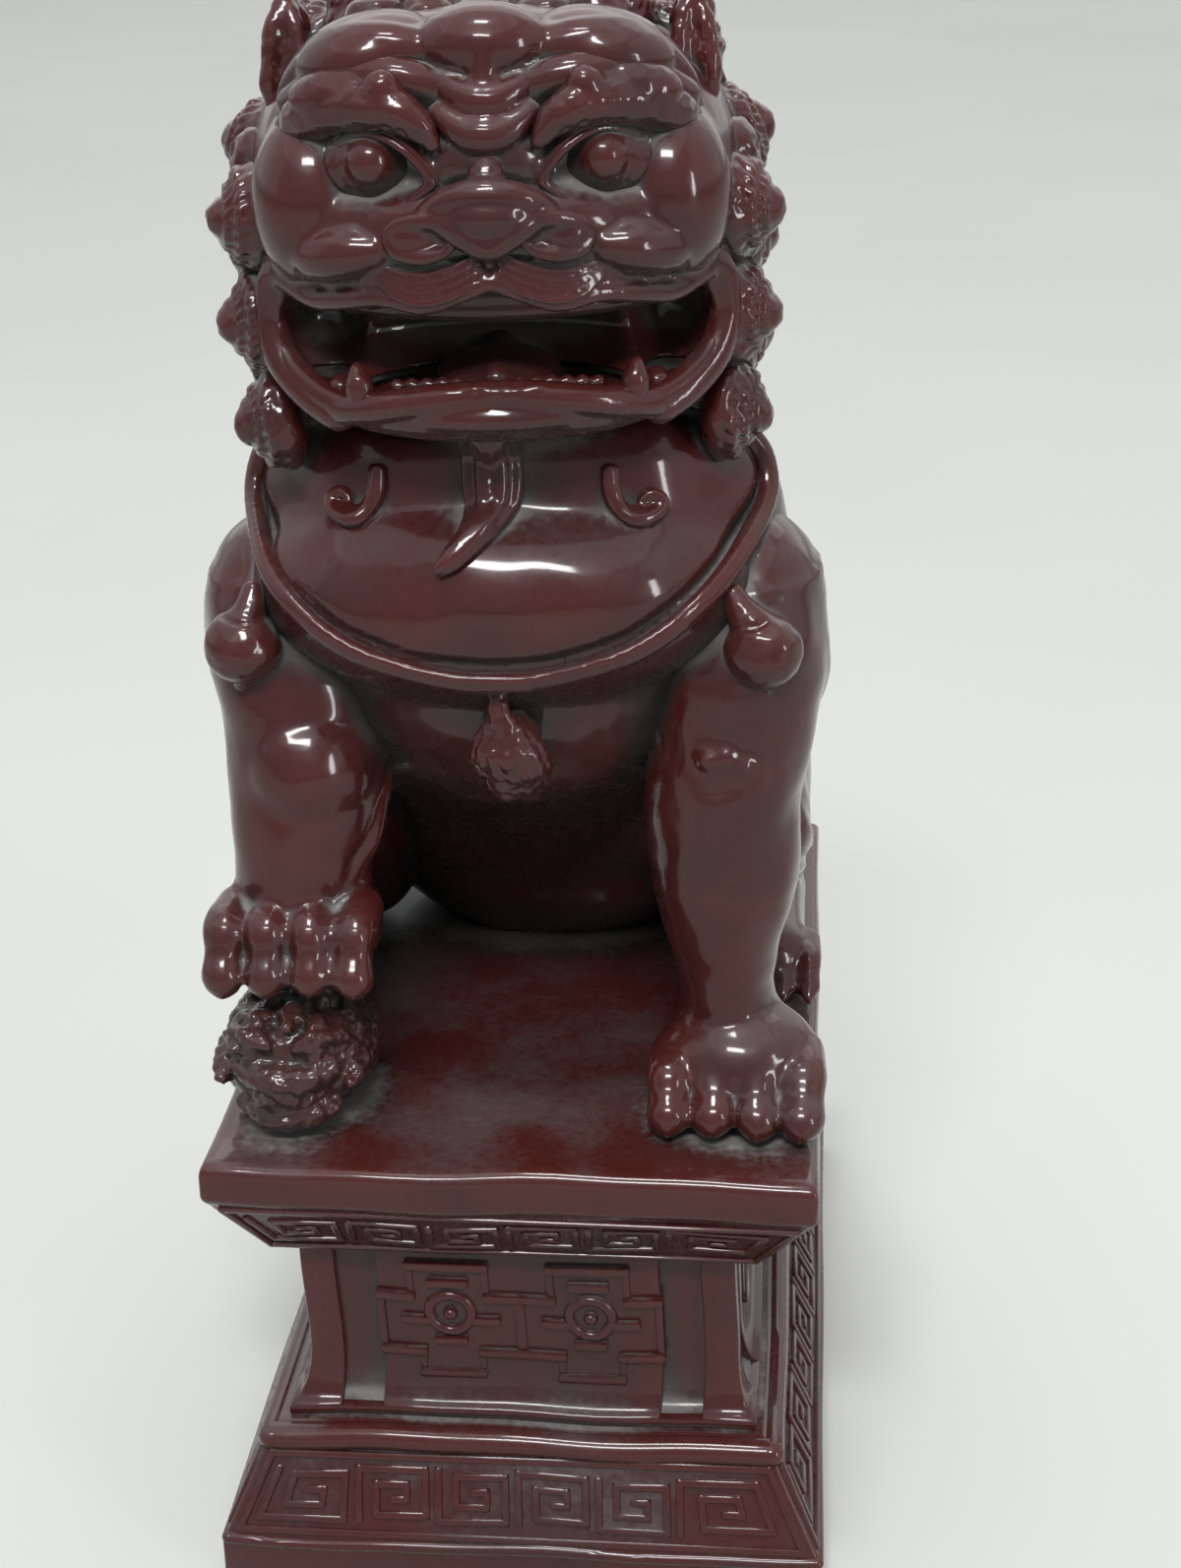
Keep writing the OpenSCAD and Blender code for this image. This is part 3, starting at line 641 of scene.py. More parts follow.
def lacquer(finish):
    """Red-brown gloss lacquer, patina and painted shade in hollows, dust and painted sheen on ledges, crests
    a little worn.
    """
    name = "lion_" + finish
    if name in bpy.data.materials:
        return bpy.data.materials[name]
    shade_share, dust_and_sheen_share, bump_share, rough, extra_dark = FINISHES[finish]
    tint = colours()
    s = Shader(name)
    at = s.node("ShaderNodeTexCoord", output="Object")
    crease, crest, shelter = [s.node("ShaderNodeAttribute", {"attribute_name": held}, output="Fac")
                              for held in ("crease", "crest", "shelter")]
    normal = s.node("ShaderNodeNewGeometry", output="Normal")
    up = s.node("ShaderNodeSeparateXYZ", None, {"Vector": normal}, "Z")
    clouds = s.noise(at, 60.0, 3.0)
    specks = s.noise(at, 900.0, 2.0)
    grain = s.noise(at, 2600.0, 2.0)
    patches = s.span(clouds, 0.42, 0.68) * shade_share
    open_colour = s.mix(patches, tuple(tint.lacquer), tuple(tint.shade))
    worn = s.mix((crest * 0.5).clamped(), open_colour, tuple(c * 1.5 for c in tint.lacquer))
    # Painted shade on faces that turn downwards
    under = s.span(up * -1, 0.0, 0.8)
    # Darker towards the crease colour: patina and painted shade in creases, painted shade in sheltered places
    # and on undersides, random specks, and the finish's extra darkness
    dark = s.span(crease + shelter * 0.45 + under * 0.45 + (specks - 0.5) * 0.2 + extra_dark, 0.0, 0.75)
    painted_shade_and_patina = s.mix(dark, worn, tuple(tint.crease))
    lying = s.span(up, 0.1, 0.95)
    settled = s.span(crease + (specks - 0.5) * 0.4 + (clouds - 0.5) * 0.6, 0.12, 0.7)
    # A film of dust and painted sheen, laid on faces that turn upwards
    dust_and_sheen_film = s.span(clouds + (specks - 0.5) * 0.3, 0.35, 0.75) * 0.2
    dust_and_sheen = ((settled + dust_and_sheen_film) * lying * dust_and_sheen_share * (1 - shelter * 0.8)).clamped()
    colour = s.mix(dust_and_sheen, painted_shade_and_patina, tuple(tint.dust))
    roughness = (rough + (specks - 0.5) * 0.14 + dust_and_sheen * 0.4).clamped()
    height = clouds * 0.2 + specks * 0.06 + grain * 0.02
    bump = s.node("ShaderNodeBump", None, {"Strength": 0.3 * bump_share, "Distance": 0.0008,
                                           "Height": height})
    surface = s.node("ShaderNodeBsdfPrincipled", None, {
        "Base Color": colour, "Roughness": roughness, "Normal": bump, "IOR": 1.5, "Specular IOR Level": 0.12,
        # Thinner coat under dust and sheen, and in sheltered places as painted shade on the reflections
        "Coat Weight": (0.55 - dust_and_sheen * 0.5 - shelter * 0.25).clamped(),
        "Coat Roughness": 0.09, "Coat IOR": 1.5})
    return s.output(surface)


# Pedestal


def cast_wave(co):
    """Bends points of the pedestal a little, as a hand-finished casting is, but not its flat underside."""
    wave = in_mm(sizes().edge_wave)
    full_height = 8
    x, y, z = co.T
    rise = np.clip(z / full_height, 0, 1)
    shift = np.stack([
        wave * np.sin(0.19 * z + 0.045 * y + 0.6) * np.sin(0.06 * y + 1.2),
        wave * np.sin(0.17 * z + 0.05 * x + 2.1) * np.sin(0.07 * x + 0.4),
        wave * (np.sin(0.115 * x + 0.09 * z + 0.8) + 0.6 * np.sin(0.26 * x + 0.13 * y + 2.0)),
    ], axis=1)
    return co + shift * rise[:, None]


def rectangle_stack(bm, rows, bevel, segments=3):
    """Extrudes a rectangle up through rows of (x0, x1, y0, y1, z), and rounds every edge."""
    x0, x1, y0, y1, z = rows[0]
    face = bm.faces.new([bm.verts.new(p) for p in ((x0, y0, z), (x1, y0, z), (x1, y1, z), (x0, y1, z))])
    for i, (x0, x1, y0, y1, z) in enumerate(rows[1:]):
        below = face
        made = bmesh.ops.extrude_face_region(bm, geom=[face])["geom"]
        fresh = [g for g in made if isinstance(g, bmesh.types.BMVert)]
        face = next(g for g in made if isinstance(g, bmesh.types.BMFace))
        if i and below.is_valid:
            bmesh.ops.delete(bm, geom=[below], context="FACES_ONLY")
        middle = sum((v.co for v in fresh), Vector()) / 4
        for v in fresh:
            v.co = (x1 if v.co.x > middle.x else x0, y1 if v.co.y > middle.y else y0, z)
    bmesh.ops.recalc_face_normals(bm, faces=bm.faces[:])
    least_angle = 0.12
    edges = [e for e in bm.edges if e.calc_face_angle(0) > least_angle]
    if bevel:
        bmesh.ops.bevel(bm, geom=edges, offset=bevel, offset_type="OFFSET", segments=segments, profile=0.5,
                        affect="EDGES", material=-1, clamp_overlap=True)


def ridge(half_w, half_l, z, r):
    """Round moulding that runs round the pedestal."""
    clay = Clay()
    for sx, sy in ((1, 0), (-1, 0), (0, 1), (0, -1)):
        side = [(sx * half_w + sy * k * half_w, sy * half_l + sx * k * half_l, z, r)
                for k in (-1, -0.5, 0, 0.5, 1)]
        clay.roll(side, step=3)
    return clay.mesh()


def centred(half_w, half_l, z):
    """Row of a stack for a rectangle round the middle."""
    return (-half_w, half_w, -half_l, half_l, z)


def bars(strokes, width, height, bevel=0.35):
    """Raised straight bars between pairs of flat points, standing on the plane z = 0."""
    bm = bmesh.new()
    for a, b in strokes:
        a, b = Vector(a), Vector(b)
        way = b - a
        matrix = Matrix.Translation((*((a + b) / 2), 0)) @ Matrix.Rotation(math.atan2(way.y, way.x), 4, "Z")
        size = Matrix.Diagonal((way.length + width, width, 2 * height, 1))
        bmesh.ops.create_cube(bm, size=1, matrix=matrix @ size)
    bmesh.ops.bevel(bm, geom=bm.edges[:], offset=bevel, offset_type="OFFSET", segments=2, profile=0.5,
                    affect="EDGES", material=-1, clamp_overlap=True)
    return as_mesh(bm, "bars")


# One key of the meander, as shares of its width and height
KEY_ROUTE = ((0, 0), (0, 1), (0.84, 1), (0.84, 0.1), (0.22, 0.1), (0.22, 0.7), (0.6, 0.7), (0.6, 0.4),
             (0.44, 0.4))


def meander_strokes(foot, top, slant, count, margin):
    """Strokes of a framed row of keys on a slope: foot and top half widths, and the slope's length.

    Every other key is upside down, and the end keys lean with the corners."""
    low, high = margin, slant - margin
    gap, left_gap, right_gap = 2.2, 2, 0.6
    inner_low, inner_high = low + gap, high - gap

    def half(v):
        return foot + (top - foot) * v / slant - margin

    out = [((-half(low), low), (half(low), low)), ((-half(high), high), (half(high), high)),
           ((-half(low), low), (-half(high), high)), ((half(low), low), (half(high), high))]
    narrow = min(half(inner_low), half(inner_high)) - left_gap
    pitch = 2 * narrow / count
    for i in range(count):
        points = []
        for u, v in KEY_ROUTE:
            v = v if i % 2 else 1 - v
            y = inner_low + (inner_high - inner_low) * v
            left = -narrow + i * pitch if i else -half(y) + left_gap
            right = -narrow + (i + 1) * pitch if i < count - 1 else half(y) - right_gap
            points.append((left + (right - left) * u, y))
        out += list(zip(points[:-1], points[1:]))
    return out


def slope_frames(half_w, half_l, z, rise, inset):
    """Frames on the four slopes of a mitred block: x along the foot, y up the slope, z out."""
    lean = math.atan2(rise, inset)
    for turn, reach in ((0, half_l), (90, half_w), (180, half_l), (270, half_w)):
        yield (Matrix.Rotation(math.radians(turn), 4, "Z") @ Matrix.Translation((0, -reach, z))
               @ Matrix.Rotation(lean, 4, "X"))


def add_mesh(bm, mesh, matrix):
    """Adds a copy of a mesh at a place."""
    copy = mesh.copy()
    copy.transform(matrix)
    bm.from_mesh(copy)
    bpy.data.meshes.remove(copy)


def add_meander(bm, half_w, half_l, z, rise, inset, margin, keys, worn=1.0):
    """Raises a meander on the four slopes, with so many keys on the ends and on the flanks."""
    slant = math.hypot(rise, inset)
    for i, place in enumerate(slope_frames(half_w, half_l, z, rise, inset)):
        foot = half_l if i % 2 else half_w
        strokes = meander_strokes(foot, foot - inset, slant, keys[i % 2], margin)
        raised = bars(strokes, width=in_mm(sizes().line_width), height=in_mm(sizes().relief) * worn)
        add_mesh(bm, raised, place)


def wavy_block(bm, cuts, least_length=8):
    """Divides the long faces of a block so that it can follow the wave of the casting."""
    long = [e for e in bm.edges if e.calc_length() > least_length]
    bmesh.ops.subdivide_edges(bm, edges=long, cuts=cuts, use_grid_fill=True)


def pedestal_mesh(bm):
    """Mesh of a block of the pedestal, with the wave of its casting."""
    mesh = as_mesh(bm, "pedestal")
    move_points(mesh, cast_wave(points_of(mesh)))
    return mesh


class LION_OT_plinth(bpy.types.Operator):
    """Sloping plinth with its framed meander"""

    bl_idname = "lion.plinth"
    bl_label = "Plinth"

    def execute(self, context):
        w, l = PLINTH_HALF
        band, inset, top = 5.5, 8.3, WAIST_BASE
        bm = bmesh.new()
        rows = [(0, 0), (0, band), (inset - 1.6, top - 2.6), (inset - 0.9, top - 0.4), (inset, top)]
        rectangle_stack(bm, [centred(w - back, l - back, z) for back, z in rows], bevel=0.75)
        wavy_block(bm, cuts=14)
        add_meander(bm, w - 0.6, l - 0.6, band + 0.6, rise=top - 3.2 - band, inset=inset - 2.2, margin=1.5,
                    keys=(6, 9))
        for z, out, r in ((top - 2.1, inset - 0.9, 2.1), (band + 0.3, 0.9, 1.1)):
            add_mesh(bm, ridge(w - out, l - out, z, r), Matrix())
        make_piece("plinth_carved", pedestal_mesh(bm), ["plinth"], finish="pedestal", smooth=False)
        return {"FINISHED"}


# Fillet at the foot of the waist, and the step under it
FLARE_REACH = 3
FLARE_HEIGHT = 9
STEP_HEIGHT = 1.5


def flare(z):
    """How far the hollow curve at the foot of the waist stands out at a height above it."""
    t = min(max((z - STEP_HEIGHT) / FLARE_HEIGHT, 0), 1)
    return FLARE_REACH * (1 - math.sqrt(1 - (1 - t) ** 2)) if t < 1 else 0


# Raised bars of the knot, from its middle
KNOT = (((-5.5, 8.2), (5.5, 8.2)), ((-5.5, 8.2), (-5.5, 2.8)), ((5.5, 8.2), (5.5, 2.8)),
        ((-5.5, 2.8), (-10, 2.8)), ((5.5, 2.8), (10, 2.8)), ((-10, 2.8), (-10, -7)), ((10, 2.8), (10, -7)),
        ((-10, -7), (-4.4, -7)), ((10, -7), (4.4, -7)), ((-4.4, -7), (-4.4, -10.8)),
        ((4.4, -7), (4.4, -10.8)), ((-4.4, -10.8), (4.4, -10.8)), ((3.6, -1.2), (6.6, -1.2)),
        ((-3.6, -1.2), (-6.6, -1.2)), ((-2, -4.8), (1.6, -4.8)), ((-2.4, 5.4), (2.4, 5.4)))


def knot_mesh():
    """Stepped cross of raised bars round a ring with a small boss."""
    clay = Clay()
    clay.roll([(3.1 * math.cos(a), 3.1 * math.sin(a), 0, 0.9) for a in np.linspace(0, 2 * math.pi, 25)])
    clay.ball((0, 0, 0.2), (1.1, 1.1, 1.1), level=3)
    ring = clay.fuse(voxel=0.25, passes=4)
    bm = bmesh.new()
    level = [stroke for stroke in KNOT if stroke[0][1] == stroke[1][1]]
    upright = [stroke for stroke in KNOT if stroke[0][1] != stroke[1][1]]
    add_mesh(bm, bars(level, width=1.4, height=1.0, bevel=0.45), Matrix())
    add_mesh(bm, bars(upright, width=1.1, height=0.45, bevel=0.3), Matrix())
    bm.from_mesh(ring)
    return as_mesh(bm, "knot")


class LION_OT_waist(bpy.types.Operator):
    """Waist with corner posts, plain strips and panels of knot work"""

    bl_idname = "lion.waist"
    bl_label = "Waist"

    def execute(self, context):
        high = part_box("waist")[1]
        w, l = high.x / MM - FLARE_REACH, high.y / MM - FLARE_REACH
        z0, z1 = WAIST_BASE, WAIST_TOP
        post, strip, depth = 5, 6, 1.4
        curve = [STEP_HEIGHT + FLARE_HEIGHT * t for t in (0, 0.08, 0.2, 0.36, 0.58, 0.82, 1)]
        levels = [0, *curve, z1 - z0]
        whole = bmesh.new()

        def put(rows, bevel):
            bm = bmesh.new()
            rectangle_stack(bm, rows, bevel=bevel, segments=2)
            wavy_block(bm, cuts=8)
            add_mesh(whole, as_mesh(bm, "block"), Matrix())

        put([centred(w + FLARE_REACH, l + FLARE_REACH, z0 + h) for h in (0, STEP_HEIGHT)], 0.4)
        put([centred(w - depth + flare(h), l - depth + flare(h), z0 + h) for h in levels], 0)
        for sx in BOTH:
            for sy in BOTH:
                put([(*sorted((sx * (w - post), sx * (w + flare(h)))),
                      *sorted((sy * (l - post), sy * (l + flare(h)))), z0 + h) for h in levels], 0.45)
        px, py = w - post - strip, l - post - strip
        put([(-px, px, -l - flare(h), l + flare(h), z0 + h) for h in levels], 0.45)
        put([(-w - flare(h), w + flare(h), -py, py, z0 + h) for h in levels], 0.45)
        knot = knot_mesh()
        ends, flanks = (-10.2, 10.2), (-23, 0, 23)
        for turn, reach, places in ((0, l, ends), (90, w, flanks), (180, l, ends), (270, w, flanks)):
            face = (Matrix.Rotation(math.radians(turn), 4, "Z")
                    @ Matrix.Translation((0, -reach, (z0 + z1) / 2 + 2.4))
                    @ Matrix.Rotation(math.radians(90), 4, "X"))
            for x in places:
                add_mesh(whole, knot, face @ Matrix.Translation((x, 0, 0)))
        make_piece("waist_carved", pedestal_mesh(whole), ["waist"], finish="pedestal", smooth=False)
        return {"FINISHED"}


class LION_OT_dais(bpy.types.Operator):
    """Dais with a meander on its sloping underside"""

    bl_idname = "lion.dais"
    bl_label = "Dais"

    def execute(self, context):
        w, l = DAIS_HALF
        slope, inset = 12, 7.6
        z0 = WAIST_TOP
        bm = bmesh.new()
        rows = [(inset, z0), (0.8, z0 + slope - 0.9), (0, z0 + slope), (0, DAIS_TOP - 1.7),
                (0.5, DAIS_TOP - 0.5), (1.7, DAIS_TOP)]
        rectangle_stack(bm, [centred(w - back, l - back, z) for back, z in rows], bevel=0.6)
        wavy_block(bm, cuts=18)
        add_meander(bm, w - inset, l - inset, z0, rise=slope - 0.9, inset=-inset + 0.8, margin=1.3,
                    keys=(6, 9), worn=0.55)
        make_piece("dais_carved", pedestal_mesh(bm), ["dais"], finish="pedestal", smooth=False)
        return {"FINISHED"}


# Torso and limbs

# Sections of the torso: x, y, z, half width, half depth and lean
TORSO = (
    (0, 47, 13, 14, 9, 62), (0, 40, 20, 29, 21, 60), (0, 27, 30, 36, 29, 55), (0, 13, 46, 36, 26, 45),
    (0, -7, 63, 36, 32, 28), (0, -17, 78, 37, 27, 10), (0, -20, 90, 34, 21.5, 4),
    (0, -21, 97, 27, 18, 0), (0, -21, 99, 12, 8, 0),
)
# Half of the collar's line on the chest: place across it and height
COLLAR_LINE = ((0, 67.4), (7, 68), (17, 70.8), (24.4, 75), (30, 79.5), (34, 85), (35.5, 91), (33, 97))
# Places of the four toes, as shares of the distance between two
TOES = (-1.5, -0.5, 0.5, 1.5)

# Holds the search tree of the sculpted torso once it is made
CHEST = {}


def on_chest(x, z, out=0.0):
    """Point on the sculpted chest, in the frame of the dais, at a place across it and a height."""
    start = on_dais() @ Vector((x, -120, z))
    at, normal, _, _ = CHEST["tree"].ray_cast(start, Vector((0, 1, 0)))
    if at is None or normal.y > -0.15:
        at, normal, _, _ = CHEST["tree"].find_nearest(on_dais() @ Vector((x, torso_front(x, z), z)))
    return on_dais().inverted() @ at + normal * out


def on_back(x, z, out=0.0):
    """Point on the sculpted back, in the frame of the dais, at a place across it and a height."""
    at, normal, _, _ = CHEST["tree"].ray_cast(on_dais() @ Vector((x, 120, z)), Vector((0, -1, 0)))
    return on_dais().inverted() @ at + normal * out


def torso_front(x, z):
    """Depth of the front of the torso at a place across it and a height above the dais."""
    rows = np.array(TORSO)[3:8]
    y, hw, hd = (np.interp(z, rows[:, 2] - 6, rows[:, k]) for k in (1, 3, 4))
    return y - hd * math.sqrt(max(0.02, 1 - (x / hw) ** 2))


class LION_OT_body(bpy.types.Operator):
    """Torso with its full chest"""

    bl_idname = "lion.body"
    bl_label = "Body"

    def execute(self, context):
        place = on_dais()
        clay = Clay(place)
        clay.loft(TORSO)
        clay.ball((0, 28, 15), (32, 23, 20))
        clay.ball((-0.5, -28, 75), (35, 22, 17), turn=(-4, 0, 0))
        mesh = roughened(clay.fuse(voxel=0.9, passes=8, cut=below_dais(-0.2)), height=0.7, scale=0.06, seed=1)
        skin = bmesh.new()
        skin.from_mesh(mesh)
        CHEST["tree"] = BVHTree.FromBMesh(skin)
        skin.free()
        strokes = Strokes(mesh, place)
        line = [on_chest(x, z + 2.2) for x, z in COLLAR_LINE]
        strokes.draw(line, width=1.7, height=-1.0, sides=BOTH, fade=False)
        for y, z in ((20, 70), (27, 62), (34, 53)):
            strokes.draw([(8, y + 10, z + 3), (20, y, z - 4), (30, y - 12, z - 16)],
                         width=3, height=-0.6, sides=BOTH)
        make_piece("body_sculpted", strokes.done(), ["body"])
        return {"FINISHED"}


def toe(clay, x, knuckle, tip, claw, r):
    """One toe with a round knuckle, a waist, a round end and a claw."""
    waist = [(a + b) / 2 for a, b in zip(knuckle, tip)]
    back = (knuckle[0] + 6, knuckle[1] + 0.6)
    clay.roll([(x, *back, r * 0.9), (x, *knuckle, r), (x, waist[0], waist[1], r * 0.86), (x, *tip, r * 0.95)])
    clay.roll([(x, tip[0] - 0.8, tip[1], r * 0.62),
               (x, (tip[0] + claw[0]) / 2 - 1, (tip[1] + claw[1]) / 2, r * 0.45), (x, *claw, 0.45)])


def elbow_tufts(clay, x):
    """Locks of hair that hug the back of the fore leg."""
    for z in (25, 31, 37, 43, 49):
        clay.roll([(x + 3, -25, z + 4, 4), (x + 6, -21.6, z + 1.6, 3.6), (x + 6.4, -18.8, z - 1.4, 2.6),
                   (x + 5.2, -16.8, z - 3.4, 1.5)])


class LION_OT_forelegs(bpy.types.Operator):
    """Fore legs: the right one raised on the cub, the left one standing"""

    bl_idname = "lion.forelegs"
    bl_label = "Fore legs"

    def execute(self, context):
        # Middle of the leg across the dais
        x = 29
        for name, side in pair("foreleg"):
            raised = side < 0
            here = sided(on_dais(), side)
            clay = Clay(here)
            clay.ball((33, -24, 66), (10.5, 14.5, 17))
            elbow_tufts(clay, x)
            if raised:
                # Height of the cub under the paw
                z = 16
                clay.loft([(x + 1.5, -36, z + 4, 8, 8, 0), (x + 1.5, -35.5, z + 10, 9.6, 9.5, 0),
                           (x + 0.8, -34.5, z + 18, 9.6, 9.6, 0), (x - 0.4, -33, z + 28, 10.6, 11, 0),
                           (x - 0.2, -30.5, z + 38, 11.4, 11.6, 0), (x + 2, -27.5, z + 50, 11.4, 11.6, 0),
                           (x + 4, -24, z + 60, 9, 12, 0)])
                clay.ball((x - 1.4, -34, z + 34), (9.6, 10.6, 11))
                clay.ball((x + 1.2, -37.5, z + 11), (11.6, 9, 7.2))
                clay.ball((x + 1, -42.6, z + 9), (11, 4.4, 5.6))
                for i in TOES:
                    toe(clay, x + 0.9 + i * 6.1, knuckle=(-44.8, z + 13.6), tip=(-48, z + 8.2),
                        claw=(-49.4, z + 5.4), r=3.35)
            else:
                clay.loft([(x + 2, -36, 0.5, 9, 9, 0), (x + 1.5, -34, 7, 9, 10, 0),
                           (x + 0.5, -33.5, 15, 7, 8.5, 0), (x, -33.5, 23, 7.4, 8.8, 0),
                           (x, -33, 34, 10.3, 10.6, 0), (x, -32, 44, 10.6, 11.4, 0),
                           (x + 1, -29.8, 55, 11.2, 12.6, 0), (x + 2.6, -27, 66, 11.4, 14, 0),
                           (x + 4, -24, 76, 9, 12, 0)])
                clay.ball((x + 2, -36.5, 5.5), (10.8, 9, 6.4))
                clay.ball((x + 1.4, -39.6, 10), (6.4, 4, 4.4))
                for dx, dz, r in ((-1.6, 54.4, 1.7), (0.8, 54.8, 1.9), (2.8, 53.8, 1.6), (-0.4, 52.4, 1.4),
                                  (1.6, 51.8, 1.2)):
                    clay.ball((x + dx, -41.6, dz), (r, r, r))
                clay.ball((x + 2, -37, 8), (11, 9.6, 8))
                for i in TOES:
                    toe(clay, x + 2 + i * 6.1, knuckle=(-43.2, 7.4), tip=(-47.6, 3.6), claw=(-50, 1.3), r=3.4)
            mesh = roughened(clay.fuse(voxel=0.5, passes=5, cut=below_dais()),
                             height=0.7, scale=0.075, seed=6)
            strokes = Strokes(mesh, here)
            if raised:
                strokes.draw([(18.4, -26, 52), (18, -34, 44), (19.4, -38, 36)], width=2.2, height=0.9)
                strokes.draw([(20.4, -27, 52), (20.4, -36, 44), (21.6, -41, 36)], width=1.6, height=-0.7)
            else:
                strokes.draw([(20, -34, 56), (24, -39, 51.4), (27, -41.6, 49.8), (31, -42.4, 50.6)],
                             width=1.3, height=-0.6)
            make_piece(name + "_sculpted", strokes.done(), [name])
        return {"FINISHED"}


class LION_OT_hind_legs(bpy.types.Operator):
    """Folded hind legs"""

    bl_idname = "lion.hind_legs"
    bl_label = "Hind legs"

    def execute(self, context):
        for name, side in pair("hind_leg"):
            here = sided(on_dais(), side)
            clay = Clay(here)
            clay.ball((30, 19, 26), (11, 22, 24))
            clay.ball((31, 8, 24), (10, 13, 14), turn=(30, 0, 0))
            clay.roll([(34, 2, 24, 7.5), (34.2, 12, 17, 7.2), (34, 24, 9, 6.5)])
            clay.roll([(35, 22, 5, 5.5), (35, 10, 5.2, 5.4), (35, -2, 5, 5.8)])
            for i in TOES:
                toe(clay, 35.2 + i * 3.9, knuckle=(-4.5, 5.2), tip=(-8.4, 2.7), claw=(-11.2, 0.9), r=2.1)
            for y, z in ((26, 12), (30, 18), (33, 25)):
                clay.roll([(34, y - 6, z + 2, 3), (37, y, z, 2.8), (37.2, y + 4, z - 2, 2.1),
                           (35.6, y + 6.4, z - 2.6, 1.3)])
            strokes = Strokes(clay.fuse(voxel=0.6, passes=6, cut=below_dais()), here)
            strokes.draw([(40, 6, 38), (42, 20, 34), (41, 30, 22)], width=2.4, height=-0.8)
            strokes.draw([(39, -1, 20), (41.5, 10, 16), (40, 22, 10)], width=2, height=-0.8)
            make_piece(name + "_sculpted", strokes.done(), [name])
        return {"FINISHED"}


class LION_OT_tail(bpy.types.Operator):
    """Flame-shaped tail that lies up the back"""

    bl_idname = "lion.tail"
    bl_label = "Tail"

    def execute(self, context):
        place = on_dais()
        clay = Clay(place)
        stem = ((3, 1, 4.5), (14, 1.6, 5.6), (28, 1.8, 6.2), (42, 1.6, 5.4), (54, 1, 3.8), (63, 0.6, 2),
                (69, 0.4, 0.7))
        clay.roll([(*on_back(0, z, out), r) for z, out, r in stem])
        locks = (((4, 8, 3.4), (10, 16, 3.8), (13.5, 26, 3.2), (12.5, 34, 2.1), (10, 37, 1)),
                 ((4, 24, 3.4), (8.6, 33, 3.6), (11, 43, 2.8), (9.6, 50, 1.8), (7.4, 52, 0.9)),
                 ((3, 40, 3), (6, 48, 3), (7.6, 56, 2.2), (6, 62, 1.4), (4.4, 63, 0.8)))
        for side in BOTH:
            for lock in locks:
                clay.roll([(*on_back(side * x, z, 1.2), r) for x, z, r in lock])
        strokes = Strokes(clay.fuse(voxel=0.5, passes=4, cut=below_dais(0.1)), place)
        spread = ((6, 0.8), (18, 1), (32, 1), (46, 0.8), (60, 0.3))
        for x in (0, 2.4):
            line = [on_back(x * part, z, 7) for z, part in spread]
            strokes.draw(line, width=0.9, height=-0.7, sides=BOTH)
        for lock in locks:
            strokes.draw([on_back(x + 0.6, z, r + 1) for x, z, r in lock], width=0.8, height=-0.6, sides=BOTH)
        make_piece("tail_sculpted", strokes.done(), ["tail"], finish="carving")
        return {"FINISHED"}


# Head

# Height above the lowest curls, and radius there
HEAD_PROFILE = ((-8, 26.7), (-1.5, 31.4), (6, 32.4), (20, 33), (31, 32.8), (39, 30.2), (45, 25.2), (49, 16.6),
                (50.5, 7.2))
# Height of the lowest curls above the dais
MANE_Z = 98.5


def head_radius(z):
    """Radius of the skull at a height above the lowest curls."""
    return float(np.interp(z, [p[0] for p in HEAD_PROFILE], [p[1] for p in HEAD_PROFILE]))


def flat_front(co):
    """Presses the round skull back to the flatter curve of the face."""
    curve = 10 - 36 * math.sqrt(max(0, 1 - (co.x / 40) ** 2))
    return Vector((co.x, max(co.y, curve), co.z))


